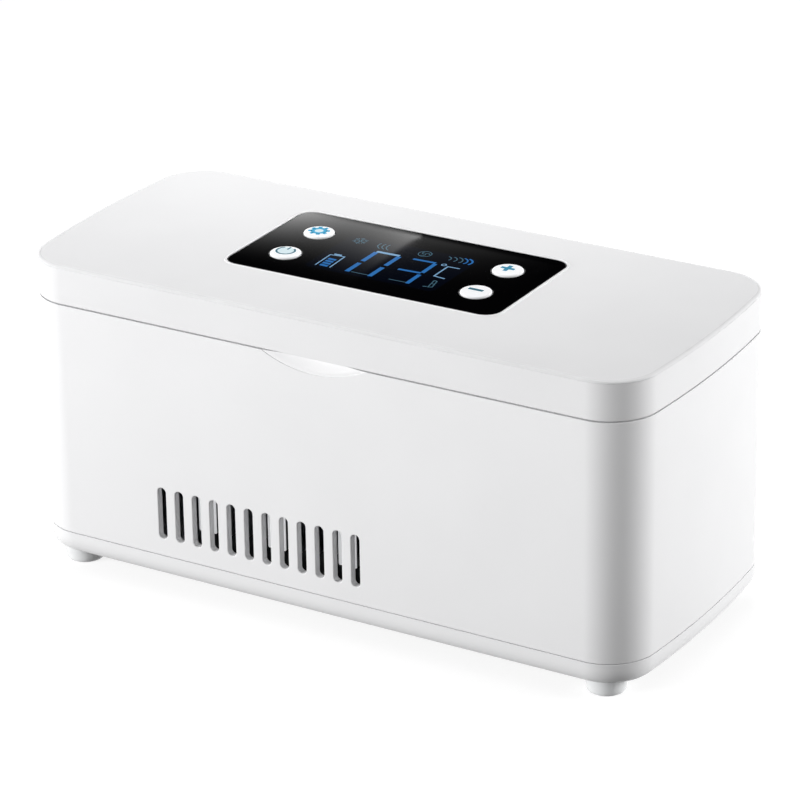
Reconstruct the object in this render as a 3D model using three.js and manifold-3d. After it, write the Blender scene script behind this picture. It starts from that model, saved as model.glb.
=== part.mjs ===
// A small thermoelectric cooling case for insulin pens, modelled in millimetres.
// +Z is up, the front with its vent slots faces -Y, and the origin lies on the floor under the middle.
// A cold chamber sits in foam at the top of the body, over a Peltier module, a heat sink and a fan.
// The lid turns on two pins at the back and carries the control panel with its four keys.
import * as THREE from 'three';
import { mergeVertices } from 'three/addons/utils/BufferGeometryUtils.js';
import Module from 'manifold-3d';

const wasm = await Module();
wasm.setup();

// The case as a whole
const caseLength = 205;
const caseWidth = 90;
const caseHeight = 97.2;
const cornerRadius = 15;
const endRadius = 340;
const footHeight = 5;
const baseRimHeight = 7;
const basePlate = 2.55;
const lidHeight = 11.8;
const partingGap = 0.4;
const baseSeam = 0.25;
const seatGap = 0.3;
const overrun = 10;

// Walls and edges of the mouldings
const bodyWall = 2.2;
const lidWall = 2;
const lidRoof = 2.4;
const bottomEdgeRise = 5;
const bottomEdgeInset = 2.9;
const topEdgeRise = 0.6;
const topEdgeInset = 1.6;
const rimBevel = 0.25;

// Vent slots in the front and back walls
const slotCount = 12;
const slotPitch = 6;
const slotWidth = 2.8;
const slotHeight = 16.4;
const slotBottomAboveBase = 12.4;

// Thumb scoop in the front wall, under the lid's edge
const scoopWidth = 34.4;
const scoopDrop = 4.3;
const scoopBallRadius = 106;

// Lid hinge
const hingeSetback = 2.9;
const hingeEndSetback = 47.5;
const barrelRadius = 2.4;
const barrelGap = 0.4;
const earLength = 6;
const lidKnuckleLength = 12;
const pinRadius = 1;
const pinClearance = 0.3;
const pinEndInset = 0.5;
const grooveAngle = 48.5;
const railDepth = 7;
const railHeight = 5;

// Feet and the screws behind them
const footRadius = 6;
const footEndSetback = 14;
const footSideSetback = 9.5;
const footFaceShare = 0.86;
const footShoulderShare = 0.97;
const footShoulderHeight = 1.2;
const baseBossRadius = 4.4;
const baseBossHeight = 2;
const baseScrewHeadDepth = 2.3;
const bodyBossRadius = 4;
const bodyBossHeight = 17.5;
const bodyBossTip = 3;
const bossWebWidth = 1.6;
const bossWebSetback = 1.2;
const baseLipHeight = 1.9;
const baseLipWall = 1.5;
const baseLipFoot = 2;

// Screws
const screwRadius = 1.4;
const screwHeadRadius = 2.8;
const screwHeadHeight = 1.9;
const screwTipLength = 1.6;
const baseScrewLength = 13;
const smallScrewRadius = 1;
const smallScrewHeadRadius = 1.9;
const smallScrewHeadHeight = 1.3;
const smallScrewLength = 5;
const fanScrewLength = 7;

// Cold chamber, the tray that holds the pens
const chamberEndMargin = 16.5;
const chamberSideMargin = 19;
const chamberCorner = 8;
const chamberWall = 1;
const chamberFloor = 1.5;
const chamberFlange = 3;
const chamberFlangeHeight = 1;

// Trim round the chamber's mouth
const trimHeight = 3;
const trimDrop = 1;
const trimRebateDepth = 2.3;
const ledgeWidth = 2;
const ledgeHeight = 2;

// Thermoelectric stack, from the fan upwards
const fanSize = 60;
const fanDepth = 10;
const fanBore = 57;
const fanCorner = 3;
const fanHoleInset = 5;
const fanHubRadius = 12.5;
const fanHolderHeight = 1.5;
const fanStrutWidth = 2.6;
const fanStrutCount = 3;
const fanStrutStart = 45;
const fanShaftRadius = 1.5;
const fanShaftHeight = 4;
const rotorTopDrop = 0.9;
const bladeCount = 7;
const bladeTipGap = 0.8;
const bladeThickness = 1.1;
const bladeRise = 5.4;
const bladeSweep = 40;
const sinkLength = 68;
const sinkAirGap = 6.8;
const stackGap = 8.6;
const sinkBase = 4;
const finHeight = 19;
const finThickness = 1.1;
const finPitch = 4.8;
const finShift = 1;
const tecSize = 40;
const tecPlate = 0.8;
const tecHeight = 3.6;
const tecCoreInset = 0.9;
const coldBlockLength = 60;
const coldBlockWidth = 40;
const coldBlockHeight = 9.85;
const clampScrewX = 25;
const clampScrewDepth = 8;
const clampPocketRadius = 3.6;

// Intake grille in the base, under the fan
const intakePitch = 5.4;
const intakeSlotWidth = 3;
const intakeRadius = 27;

// Battery pack, lying in its tray on the base
const cellRadius = 9.2;
const cellLength = 65;
const cellGap = 0.6;
const cellButtonRadius = 2.8;
const cellButtonHeight = 0.9;
const trayFloor = 1.2;
const trayWall = 1.4;
const trayHeight = 11;
const trayEndSetback = 44.5;
const tabThickness = 0.3;
const tabWidth = 6;
const tabGap = 0.2;

// Main board over the battery
const boardLength = 60;
const boardBackMargin = 4.8;
const boardThickness = 1.6;
const boardClearance = 1.2;
const boardCorner = 2;
const boardHoleInset = 4.5;
const boardHoleEndInset = 8;
const postRadius = 3;
const postMargin = 2;
const solderSink = 0.4;
const jackWidth = 9;
const jackHeight = 9;
const jackLength = 13.6;
const jackEndSetback = 34.5;
const jackBoreRadius = 2.9;
const jackBoreDepth = 9;
const jackPinRadius = 0.9;
const jackPinDepth = 7.5;
const jackHoleRadius = 4;
const jackCollarRadius = 3.7;
const capacitorRadius = 4;
const capacitorHeight = 9;
const capacitorBevel = 0.6;
const inductorSize = 12;
const inductorHeight = 5.5;
const inductorCorner = 2.5;
const chipHeight = 1.5;
const largeChipSize = 9;
const smallChipLength = 5;
const smallChipWidth = 4;

// Temperature sensor under the chamber's floor
const sensorRadius = 1.8;
const sensorLength = 9;
const sensorGap = 11.4;

// Magnets that hold the lid shut
const magnetRadius = 3;
const magnetHeight = 1.7;
const magnetEndMargin = 16;
const magnetSetback = 8.6;

// Lid liner, its plug and the gasket
const linerHeight = 1.6;
const plugMargin = 2;
const plugDepth = 4;
const plugWall = 1.6;
const gasketMargin = 4;
const gasketWidth = 2.4;
const gasketGrooveDepth = 0.6;
const lidBossRadius = 3.2;
const lidBossEndInset = 10;
const lidBossMargin = 2.2;
const lidScrewRecess = 0.9;

// Control panel in the lid's roof
const panelLength = 89.4;
const panelWidth = 46.4;
const panelCorner = 6;
const panelThickness = 1.2;
const panelX = -2;
const panelY = 4.5;
const panelFitGap = 0.3;
const panelBedGap = 0.2;
const panelLedge = 3.4;
const keyEndInset = 12.85;
const keySideInset = 13.9;
const keyRadius = 4.5;
const keyHoleGap = 0.3;
const keyProud = 0.5;
const keyEdgeBevel = 0.35;
const keyFlangeRadius = 5.3;
const keyFlangeHeight = 0.9;
const keyTravel = 0.5;

// Display and its board, hung from the lid's roof
const displayEndMargin = 1.55;
const displayWidth = 30;
const displayThickness = 2.6;
const displayFrame = 2;
const displayFrameStep = 0.4;
const displayBoardMargin = 3.3;
const displayBoardThickness = 1.2;
const switchSize = 6;
const switchHeight = 0.8;
const plungerRadius = 1.6;
const displayPostRadius = 2.5;
const displayPostInset = 3.2;

// How finely round shapes are divided
const cornerSteps = 3;
const endSteps = 4;
const slotEndSteps = 1;
const grilleEndSteps = 1;
const keySides = 24;
const roundSides = 16;
const smallRoundSides = 8;
const screwSides = 8;
const bottomEdgeSteps = 4;
const scoopSteps = 5;
const scoopSides = 80;
const fullTurn = 360;

// Sizes and places in plan that follow from the sizes above
const hingeX = caseLength / 2 - hingeEndSetback;
const footX = caseLength / 2 - footEndSetback;
const footY = caseWidth / 2 - footSideSetback;
const chamberLength = caseLength - 2 * chamberEndMargin;
const chamberWidth = caseWidth - 2 * chamberSideMargin;
const sinkWidth = caseWidth - 2 * (bodyWall + sinkAirGap);
const trayX = caseLength / 2 - trayEndSetback;
const trayInX = cellLength / 2 + cellButtonHeight + tabThickness + 2 * tabGap + seatGap;
const trayInY = 2 * cellRadius + cellGap / 2 + seatGap;
const trayOutX = trayInX + trayWall;
const trayOutY = trayInY + trayWall;
const boardX = trayX;
const jackX = caseLength / 2 - jackEndSetback;
const stackX = trayX - trayOutX - stackGap - sinkLength / 2;
const fanHolePitch = fanSize - 2 * fanHoleInset;
const sensorX = stackX + coldBlockLength / 2 + sensorGap;
const magnetX = chamberLength / 2 - magnetEndMargin;
const magnetY = caseWidth / 2 - magnetSetback;
const lidBossX = chamberLength / 2 - lidBossEndInset;
const lidBossY = chamberWidth / 2 + lidBossMargin;
const keySpacingX = panelLength - 2 * keyEndInset;
const keySpacingY = panelWidth - 2 * keySideInset;
const displayLength = keySpacingX - 2 * (keyFlangeRadius + displayEndMargin);
const displayBoardLength = panelLength + 2 * displayBoardMargin;
const displayBoardWidth = panelWidth + 2 * displayBoardMargin;

// Heights that follow from the sizes above
const bottomZ = footHeight;
const splitZ = bottomZ + baseRimHeight;
const baseTopZ = splitZ - baseSeam;
const plateTopZ = bottomZ + basePlate;
const topZ = caseHeight;
const lidZ = topZ - lidHeight;
const rimZ = lidZ - partingGap;
const hingeY = caseWidth / 2 - hingeSetback;
const hingeZ = rimZ + partingGap / 2;
const railY = caseWidth / 2 - railDepth;
const trimTopZ = rimZ - trimDrop;
const trimZ = trimTopZ - trimHeight;
const flangeTopZ = trimTopZ - trimRebateDepth + seatGap + chamberFlangeHeight;
const fanZ = plateTopZ + seatGap;
const sinkZ = fanZ + fanDepth + seatGap;
const sinkTopZ = sinkZ + finHeight + sinkBase;
const tecZ = sinkTopZ + seatGap;
const coldBlockZ = tecZ + tecHeight + seatGap;
const coldBlockTopZ = coldBlockZ + coldBlockHeight;
const chamberBottomZ = coldBlockTopZ + seatGap;
const chamberFloorZ = chamberBottomZ + chamberFloor;
const foamZ = sinkTopZ + seatGap;
const foamTopZ = trimZ - seatGap;
const trayZ = plateTopZ + seatGap;
const cellZ = trayZ + trayFloor + seatGap + cellRadius;
const boardZ = cellZ + cellRadius + boardClearance;
const boardTopZ = boardZ + boardThickness;
const roofZ = topZ - lidRoof;
const linerTopZ = lidZ + linerHeight;
const panelZ = topZ - panelThickness;
const keyFlangeTopZ = panelZ - seatGap;
const keyBottomZ = keyFlangeTopZ - keyFlangeHeight;
const plungerTopZ = keyBottomZ - keyTravel - seatGap;
const displayTopZ = panelZ - seatGap;
const displayZ = displayTopZ - displayThickness;
const displayBoardTopZ = displayZ - seatGap;
const displayBoardZ = displayBoardTopZ - displayBoardThickness;
const lidFoamZ = linerTopZ + seatGap;
const lidFoamTopZ = roofZ - seatGap;

// Solids

function toSolid(geometry) {
  const bare = geometry.clone();
  bare.deleteAttribute('normal');
  bare.deleteAttribute('uv');
  const merged = mergeVertices(bare);
  return new wasm.Manifold(new wasm.Mesh({
    numProp: 3,
    vertProperties: new Float32Array(merged.attributes.position.array),
    triVerts: new Uint32Array(merged.index.array),
  }));
}

function toGeometry(solid) {
  const mesh = solid.getMesh();
  const geometry = new THREE.BufferGeometry();
  geometry.setAttribute('position', new THREE.BufferAttribute(new Float32Array(mesh.vertProperties), 3));
  geometry.setIndex(new THREE.BufferAttribute(new Uint32Array(mesh.triVerts), 1));
  geometry.computeVertexNormals();
  return geometry;
}

function join(...solids) {
  return solids.reduce((whole, piece) => whole.add(piece));
}

function cut(body, ...tools) {
  return tools.reduce((left, tool) => left.subtract(tool), body);
}

function box(x0, x1, y0, y1, z0, z1) {
  const geometry = new THREE.BoxGeometry(x1 - x0, y1 - y0, z1 - z0);
  geometry.translate((x0 + x1) / 2, (y0 + y1) / 2, (z0 + z1) / 2);
  return toSolid(geometry);
}

function prism(shape, z0, z1, steps = cornerSteps) {
  const geometry = new THREE.ExtrudeGeometry(shape, {
    depth: z1 - z0,
    bevelEnabled: false,
    curveSegments: steps,
  });
  geometry.translate(0, 0, z0);
  return toSolid(geometry);
}

// An outline drawn in Y and Z, run along X
function prismAlongX(shape, x0, x1, steps = cornerSteps) {
  const geometry = new THREE.ExtrudeGeometry(shape, {
    depth: x1 - x0,
    bevelEnabled: false,
    curveSegments: steps,
  });
  geometry.applyMatrix4(new THREE.Matrix4().set(0, 0, 1, x0, 1, 0, 0, 0, 0, 1, 0, 0, 0, 0, 0, 1));
  return toSolid(geometry);
}

// An outline drawn in X and Z, run along Y
function prismAlongY(shape, y0, y1, steps = cornerSteps) {
  const geometry = new THREE.ExtrudeGeometry(shape, {
    depth: y1 - y0,
    bevelEnabled: false,
    curveSegments: steps,
  });
  geometry.applyMatrix4(new THREE.Matrix4().set(1, 0, 0, 0, 0, 0, -1, y1, 0, 1, 0, 0, 0, 0, 0, 1));
  return toSolid(geometry);
}

function rod(x, y, z0, z1, radius, sides = roundSides) {
  const geometry = new THREE.CylinderGeometry(radius, radius, z1 - z0, sides);
  geometry.rotateX(Math.PI / 2);
  geometry.translate(x, y, (z0 + z1) / 2);
  return toSolid(geometry);
}

function rodAlongX(x0, x1, y, z, radius, sides = roundSides) {
  const geometry = new THREE.CylinderGeometry(radius, radius, x1 - x0, sides);
  geometry.rotateZ(Math.PI / 2);
  geometry.translate((x0 + x1) / 2, y, z);
  return toSolid(geometry);
}

function rodAlongY(x, y0, y1, z, radius, sides = roundSides) {
  const geometry = new THREE.CylinderGeometry(radius, radius, y1 - y0, sides);
  geometry.translate(x, (y0 + y1) / 2, z);
  return toSolid(geometry);
}

// A profile of radius and height pairs, turned about an upright axis at x, y
function turned(profile, x, y, sides = roundSides) {
  const points = profile.map(([radius, height]) => new THREE.Vector2(radius, height));
  const geometry = new THREE.LatheGeometry(points, sides);
  geometry.rotateX(Math.PI / 2);
  geometry.translate(x, y, 0);
  return toSolid(geometry);
}

function roundedRectangle(length, width, radius, x = 0, y = 0) {
  const dx = length / 2 - radius;
  const dy = width / 2 - radius;
  const shape = new THREE.Shape();
  shape.absarc(x + dx, y - dy, radius, -Math.PI / 2, 0);
  shape.absarc(x + dx, y + dy, radius, 0, Math.PI / 2);
  shape.absarc(x - dx, y + dy, radius, Math.PI / 2, Math.PI);
  shape.absarc(x - dx, y - dy, radius, Math.PI, Math.PI * 3 / 2);
  shape.closePath();
  return shape;
}

// Points along an arc, its two ends among them
function arcPoints(x, y, radius, from, to, steps) {
  return Array.from({ length: steps + 1 }, (_, i) => {
    const angle = from + (to - from) * i / steps;
    return new THREE.Vector2(x + radius * Math.cos(angle), y + radius * Math.sin(angle));
  });
}

// The outline of the case, with its slightly crowned ends, drawn in by an inset
function caseOutline(inset) {
  const cornerY = caseWidth / 2 - cornerRadius;
  const endX = caseLength / 2 - endRadius;
  const spread = Math.asin(cornerY / (endRadius - cornerRadius));
  const cornerX = endX + (endRadius - cornerRadius) * Math.cos(spread);
  const radius = cornerRadius - inset;
  const half = [
    ...arcPoints(cornerX, -cornerY, radius, -Math.PI / 2, -spread, 2 * cornerSteps),
    ...arcPoints(endX, 0, endRadius - inset, -spread, spread, endSteps).slice(1, -1),
    ...arcPoints(cornerX, cornerY, radius, spread, Math.PI / 2, 2 * cornerSteps),
  ];
  const shape = new THREE.Shape([...half, ...half.map((point) => point.clone().negate())]);
  shape.closePath();
  return shape;
}

// The case's outline lofted through levels of height and inset
function loftedCase(levels) {
  const rings = levels.map(([z, inset]) => {
    const points = caseOutline(inset).getPoints(cornerSteps);
    points.pop();
    return points.map((point) => new THREE.Vector3(point.x, point.y, z));
  });
  const count = rings[0].length;
  const positions = rings.flat().flatMap((point) => point.toArray());
  const index = [];
  for (let level = 0; level < rings.length - 1; level += 1) {
    for (let i = 0; i < count; i += 1) {
      const a = level * count + i;
      const b = level * count + (i + 1) % count;
      index.push(a, b, b + count, a, b + count, a + count);
    }
  }
  const top = (rings.length - 1) * count;
  for (const [a, b, c] of THREE.ShapeUtils.triangulateShape(rings[0], [])) {
    index.push(c, b, a, top + a, top + b, top + c);
  }
  const geometry = new THREE.BufferGeometry();
  geometry.setAttribute('position', new THREE.Float32BufferAttribute(positions, 3));
  geometry.setIndex(index);
  return toSolid(geometry);
}

// The rounded bottom edge, as levels for a loft
function bottomEdgeLevels() {
  const levels = [];
  for (let i = 0; i <= bottomEdgeSteps; i += 1) {
    const angle = Math.PI / 2 * i / bottomEdgeSteps;
    levels.push([bottomZ + bottomEdgeRise * (1 - Math.cos(angle)), bottomEdgeInset * (1 - Math.sin(angle))]);
  }
  return levels;
}

// Four named places round a middle, and two beside it
function cornerSpots(dx, dy, x = 0, y = 0) {
  return {
    front_left: [x - dx, y - dy],
    front_right: [x + dx, y - dy],
    back_left: [x - dx, y + dy],
    back_right: [x + dx, y + dy],
  };
}

function sideSpots(dx, x = 0, y = 0) {
  return { left: [x - dx, y], right: [x + dx, y] };
}

// One solid of the same piece made at every spot
function atSpots(spots, make) {
  return join(...Object.values(spots).map(([x, y]) => make(x, y)));
}

// Slots with round ends, upright in a wall that faces along Y
function ventSlots(y0, y1) {
  const slots = [];
  for (let i = 0; i < slotCount; i += 1) {
    const x = stackX + (i - (slotCount - 1) / 2) * slotPitch;
    const z = bottomZ + slotBottomAboveBase + slotHeight / 2;
    const shape = roundedRectangle(slotWidth, slotHeight, slotWidth / 2, x, z);
    slots.push(prismAlongY(shape, y0, y1, slotEndSteps));
  }
  return slots;
}

// The wedge behind the hinge axis that the opening lid turns through, above it or below it
function hingeGroove(side) {
  const reach = hingeSetback + overrun;
  const rise = side * reach * Math.tan(THREE.MathUtils.degToRad(grooveAngle));
  const shape = new THREE.Shape();
  shape.moveTo(hingeY, hingeZ);
  shape.lineTo(hingeY + reach, hingeZ);
  shape.lineTo(hingeY + reach, hingeZ + rise);
  shape.closePath();
  const x = caseLength / 2 + overrun;
  return prismAlongX(shape, -x, x);
}

// How far each hinge reaches from its middle
const hingeHalf = lidKnuckleLength / 2 + seatGap + earLength;
const hingeSpots = sideSpots(hingeX, 0, hingeY);

// Room round the barrels of both hinges
function barrelPockets() {
  const half = hingeHalf + seatGap;
  return atSpots(hingeSpots, (x) => rodAlongX(x - half, x + half, hingeY, hingeZ, barrelRadius + barrelGap));
}

// A hinge barrel with the web that joins it to its moulding, above it or below it
function knuckle(x0, x1, side) {
  const near = hingeZ + side * barrelRadius / 2;
  const far = hingeZ + side * (barrelRadius + barrelGap * 3);
  return join(
    rodAlongX(x0, x1, hingeY, hingeZ, barrelRadius),
    box(x0, x1, hingeY - barrelRadius, hingeY + barrelRadius / 4, Math.min(near, far), Math.max(near, far)),
  );
}

function pinBores() {
  const half = hingeHalf + seatGap / 2;
  return atSpots(hingeSpots, (x) => rodAlongX(x - half, x + half, hingeY, hingeZ, pinRadius + pinClearance));
}

// The thick rail along the back that the hinge groove is cut in
function rail(z0, z1) {
  return prism(caseOutline(lidWall / 2), z0, z1)
    .intersect(box(-caseLength, caseLength, railY, caseWidth, z0, z1));
}

// What keeps an inner piece clear of the rails
function railRoom() {
  const x = caseLength;
  return box(-x, x, railY - seatGap, caseWidth, rimZ - railHeight - seatGap, lidZ + railHeight + seatGap);
}

// A screw standing on its head at the given height, or hanging from it
function screw(x, y, headZ, length, side, radius, headRadius, headHeight) {
  const profile = [
    [0, headZ],
    [headRadius, headZ],
    [headRadius, headZ + side * headHeight],
    [radius, headZ + side * headHeight],
    [radius, headZ + side * (headHeight + length - screwTipLength)],
    [0, headZ + side * (headHeight + length)],
  ];
  return turned(side > 0 ? profile : profile.reverse(), x, y, screwSides);
}

function smallScrew(x, y, headZ, length, side) {
  return screw(x, y, headZ, length, side, smallScrewRadius, smallScrewHeadRadius, smallScrewHeadHeight);
}

// Body

const bossZ = plateTopZ + baseBossHeight + seatGap;
const webZ = baseTopZ + baseLipHeight + bossWebSetback;
const footSpots = cornerSpots(footX, footY);

function bodyBoss(x, y) {
  const top = bossZ + bodyBossHeight;
  const webX = Math.sign(x) * caseLength / 2;
  const webY = Math.sign(y) * caseWidth / 2;
  const half = bossWebWidth / 2;
  const z1 = top - bossWebSetback;
  const toSide = box(Math.min(x, webX), Math.max(x, webX), y - half, y + half, webZ, z1);
  const toFront = box(x - half, x + half, Math.min(y, webY), Math.max(y, webY), webZ + half, z1 - half);
  return join(rod(x, y, bossZ, top, bodyBossRadius, smallRoundSides), toSide, toFront);
}

// A shallow dish whose lower edge is an arc of the scoop's width and drop
function thumbScoop() {
  const front = -caseWidth / 2;
  const edgeRadius = (scoopWidth ** 2 / 4 + scoopDrop ** 2) / (2 * scoopDrop);
  const ballDepth = Math.sqrt(scoopBallRadius ** 2 - edgeRadius ** 2);
  const innerRadius = edgeRadius - 2 * scoopDrop;
  const outerRadius = edgeRadius + scoopDrop;
  const profile = [];
  for (let i = 0; i <= scoopSteps; i += 1) {
    const radius = innerRadius + (outerRadius - innerRadius) * i / scoopSteps;
    profile.push(new THREE.Vector2(radius, Math.sqrt(scoopBallRadius ** 2 - radius ** 2) - ballDepth));
  }
  const flat = profile[0].y;
  const points = [
    new THREE.Vector2(0, -overrun),
    new THREE.Vector2(outerRadius, -overrun),
    ...profile.reverse(),
    new THREE.Vector2(0, flat),
  ];
  const geometry = new THREE.LatheGeometry(points, scoopSides);
  geometry.translate(0, front, 0);
  return toSolid(geometry).translate([0, 0, rimZ - scoopDrop + edgeRadius]);
}

function bodyShell() {
  const form = loftedCase([
    [splitZ, 0],
    [rimZ - rimBevel, 0],
    [rimZ, rimBevel],
  ]);
  const hollow = prism(caseOutline(bodyWall), splitZ - overrun, rimZ + overrun);
  const ledgeHole = prism(caseOutline(bodyWall + ledgeWidth), splitZ - overrun, rimZ + overrun);
  const ledgeTopZ = trimZ - seatGap;
  const ledge = cut(prism(caseOutline(bodyWall / 2), ledgeTopZ - ledgeHeight, ledgeTopZ), ledgeHole);
  const bosses = atSpots(footSpots, bodyBoss).intersect(prism(caseOutline(bodyWall / 2), bossZ, rimZ));
  const pilots = atSpots(footSpots, (x, y) => (
    rod(x, y, bossZ - seatGap, bossZ + bodyBossHeight - bodyBossTip, screwRadius + seatGap, screwSides)
  ));
  const back = caseWidth / 2;
  const jackZ = boardTopZ + jackHeight / 2;
  const ears = atSpots(hingeSpots, (x) => join(
    knuckle(x - hingeHalf, x - hingeHalf + earLength, -1),
    knuckle(x + hingeHalf - earLength, x + hingeHalf, -1),
  ));
  const walls = cut(
    join(cut(form, hollow), ledge, rail(rimZ - railHeight, rimZ - rimBevel), bosses),
    pilots,
    thumbScoop(),
    ...ventSlots(-back - overrun, -back + bodyWall + overrun),
    ...ventSlots(back - bodyWall - overrun, back + overrun),
    rodAlongY(jackX, back - bodyWall - seatGap, back + overrun, jackZ, jackHoleRadius),
    hingeGroove(-1),
    barrelPockets(),
  );
  return cut(join(walls, ears), pinBores());
}

function intakeSlots() {
  const slots = [];
  const half = Math.floor(intakeRadius / intakePitch);
  for (let i = -half; i <= half; i += 1) {
    const x = i * intakePitch;
    const length = 2 * Math.sqrt(intakeRadius ** 2 - x ** 2);
    if (length > 2 * intakeSlotWidth) {
      const shape = roundedRectangle(intakeSlotWidth, length, intakeSlotWidth / 2, stackX + x, 0);
      slots.push(prism(shape, bottomZ - overrun, plateTopZ + overrun, grilleEndSteps));
    }
  }
  return slots;
}

// Where the main board's posts stand: two take screws and two carry pegs
const postY = trayOutY + postRadius + postMargin;
const boardFrontY = -postY - boardHoleInset;
const boardBackY = caseWidth / 2 - bodyWall - boardBackMargin;
const boardSpots = cornerSpots(boardLength / 2 - boardHoleEndInset, postY, boardX, 0);
const boardScrewSpots = { left: boardSpots.front_left, right: boardSpots.back_right };
const boardPegSpots = { left: boardSpots.back_left, right: boardSpots.front_right };
const fanSpots = cornerSpots(fanHolePitch / 2, fanHolePitch / 2, stackX, 0);

function baseCover() {
  const tray = cut(
    loftedCase([...bottomEdgeLevels(), [baseTopZ, 0]]),
    prism(caseOutline(bodyWall), plateTopZ, baseTopZ + overrun),
  );
  const lipInset = bodyWall + seatGap;
  const lip = cut(
    join(
      prism(caseOutline(bodyWall / 2), baseTopZ - baseLipFoot, baseTopZ),
      prism(caseOutline(lipInset), baseTopZ - baseLipFoot, baseTopZ + baseLipHeight),
    ),
    prism(caseOutline(lipInset + baseLipWall), baseTopZ - overrun, baseTopZ + overrun),
  );
  const bosses = atSpots(footSpots, (x, y) => (
    rod(x, y, plateTopZ - seatGap, plateTopZ + baseBossHeight, baseBossRadius)
  ));
  const boardPosts = atSpots(boardSpots, (x, y) => (
    rod(x, y, plateTopZ - seatGap, boardZ - seatGap, postRadius, smallRoundSides)
  ));
  const pegs = atSpots(boardPegSpots, (x, y) => (
    rod(x, y, boardZ - 2 * seatGap, boardTopZ + seatGap, smallScrewRadius, screwSides)
  ));
  const postHoles = atSpots(boardScrewSpots, (x, y) => (
    rod(x, y, boardZ - smallScrewLength - seatGap, boardZ, smallScrewRadius + seatGap, screwSides)
  ));
  const screwHoles = atSpots(footSpots, (x, y) => join(
    rod(x, y, bottomZ - overrun, bottomZ + baseScrewHeadDepth, screwHeadRadius + seatGap, smallRoundSides),
    rod(x, y, bottomZ, plateTopZ + baseBossHeight + overrun, screwRadius + seatGap, screwSides),
  ));
  const sunk = bottomZ + smallScrewHeadHeight + seatGap;
  const fanScrewHoles = atSpots(fanSpots, (x, y) => join(
    rod(x, y, bottomZ - overrun, sunk, smallScrewHeadRadius + seatGap, smallRoundSides),
    rod(x, y, bottomZ, plateTopZ + overrun, smallScrewRadius + seatGap, screwSides),
  ));
  return cut(
    join(tray, lip, bosses, boardPosts, pegs),
    postHoles,
    screwHoles,
    fanScrewHoles,
    ...intakeSlots(),
  );
}

function foot(x, y) {
  return turned([
    [0, 0],
    [footRadius * footFaceShare, 0],
    [footRadius * (footFaceShare + footShoulderShare) / 2, footShoulderHeight / 4],
    [footRadius * footShoulderShare, footShoulderHeight],
    [footRadius, footHeight],
    [0, footHeight],
  ], x, y, roundSides);
}

function baseScrew(x, y) {
  const headZ = bottomZ + baseScrewHeadDepth - screwHeadHeight - seatGap;
  return screw(x, y, headZ, baseScrewLength, 1, screwRadius, screwHeadRadius, screwHeadHeight);
}

// Cold chamber and what surrounds it

function chamberOutline(margin) {
  return roundedRectangle(chamberLength + 2 * margin, chamberWidth + 2 * margin, chamberCorner + margin);
}

function coldChamber() {
  return cut(
    join(
      prism(chamberOutline(chamberWall), chamberBottomZ, flangeTopZ),
      prism(chamberOutline(chamberWall + chamberFlange), flangeTopZ - chamberFlangeHeight, flangeTopZ),
    ),
    prism(chamberOutline(0), chamberFloorZ, flangeTopZ + overrun),
  );
}

function chamberTrim() {
  const rebate = chamberOutline(chamberWall + chamberFlange + seatGap);
  return cut(
    prism(caseOutline(bodyWall + seatGap), trimZ, trimTopZ),
    prism(chamberOutline(chamberWall + seatGap), trimZ - overrun, trimTopZ + overrun),
    prism(rebate, trimTopZ - trimRebateDepth, trimTopZ + overrun),
    railRoom(),
  );
}

const magnetSpots = sideSpots(magnetX, 0, -magnetY);
const magnetZ = foamTopZ - magnetHeight;

function magnetPockets(z0, z1) {
  return atSpots(magnetSpots, (x, y) => rod(x, y, z0, z1, magnetRadius + seatGap, smallRoundSides));
}

function bodyMagnet(x, y) {
  return rod(x, y, magnetZ, foamTopZ, magnetRadius, smallRoundSides);
}

function chamberInsulation() {
  const gap = seatGap;
  const blockX = coldBlockLength / 2 + gap;
  const blockY = coldBlockWidth / 2 + gap;
  const sensorZ = chamberBottomZ - gap - 2 * sensorRadius;
  return cut(
    prism(caseOutline(bodyWall + ledgeWidth + gap), foamZ, foamTopZ),
    prism(chamberOutline(chamberWall + gap), chamberBottomZ - gap, foamTopZ + overrun),
    box(stackX - blockX, stackX + blockX, -blockY, blockY, foamZ - overrun, chamberBottomZ),
    box(sensorX - gap, sensorX + sensorLength + gap, -sensorRadius - gap, sensorRadius + gap,
      sensorZ - gap, chamberBottomZ),
    magnetPockets(magnetZ - gap, foamTopZ + overrun),
    railRoom(),
  );
}

const clampSpots = sideSpots(clampScrewX, stackX, 0);

function coldBlock() {
  const halfX = coldBlockLength / 2;
  const halfY = coldBlockWidth / 2;
  const block = box(stackX - halfX, stackX + halfX, -halfY, halfY, coldBlockZ, coldBlockTopZ);
  const holes = atSpots(clampSpots, (x, y) => (
    rod(x, y, coldBlockZ - overrun, coldBlockZ + clampScrewDepth, screwRadius + seatGap, screwSides)
  ));
  return cut(block, holes);
}

function peltierModule() {
  const half = tecSize / 2;
  const core = half - tecCoreInset;
  return join(
    box(stackX - half, stackX + half, -half, half, tecZ, tecZ + tecPlate),
    box(stackX - core, stackX + core, -core, core, tecZ, tecZ + tecHeight),
    box(stackX - half, stackX + half, -half, half, tecZ + tecHeight - tecPlate, tecZ + tecHeight),
  );
}

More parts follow.
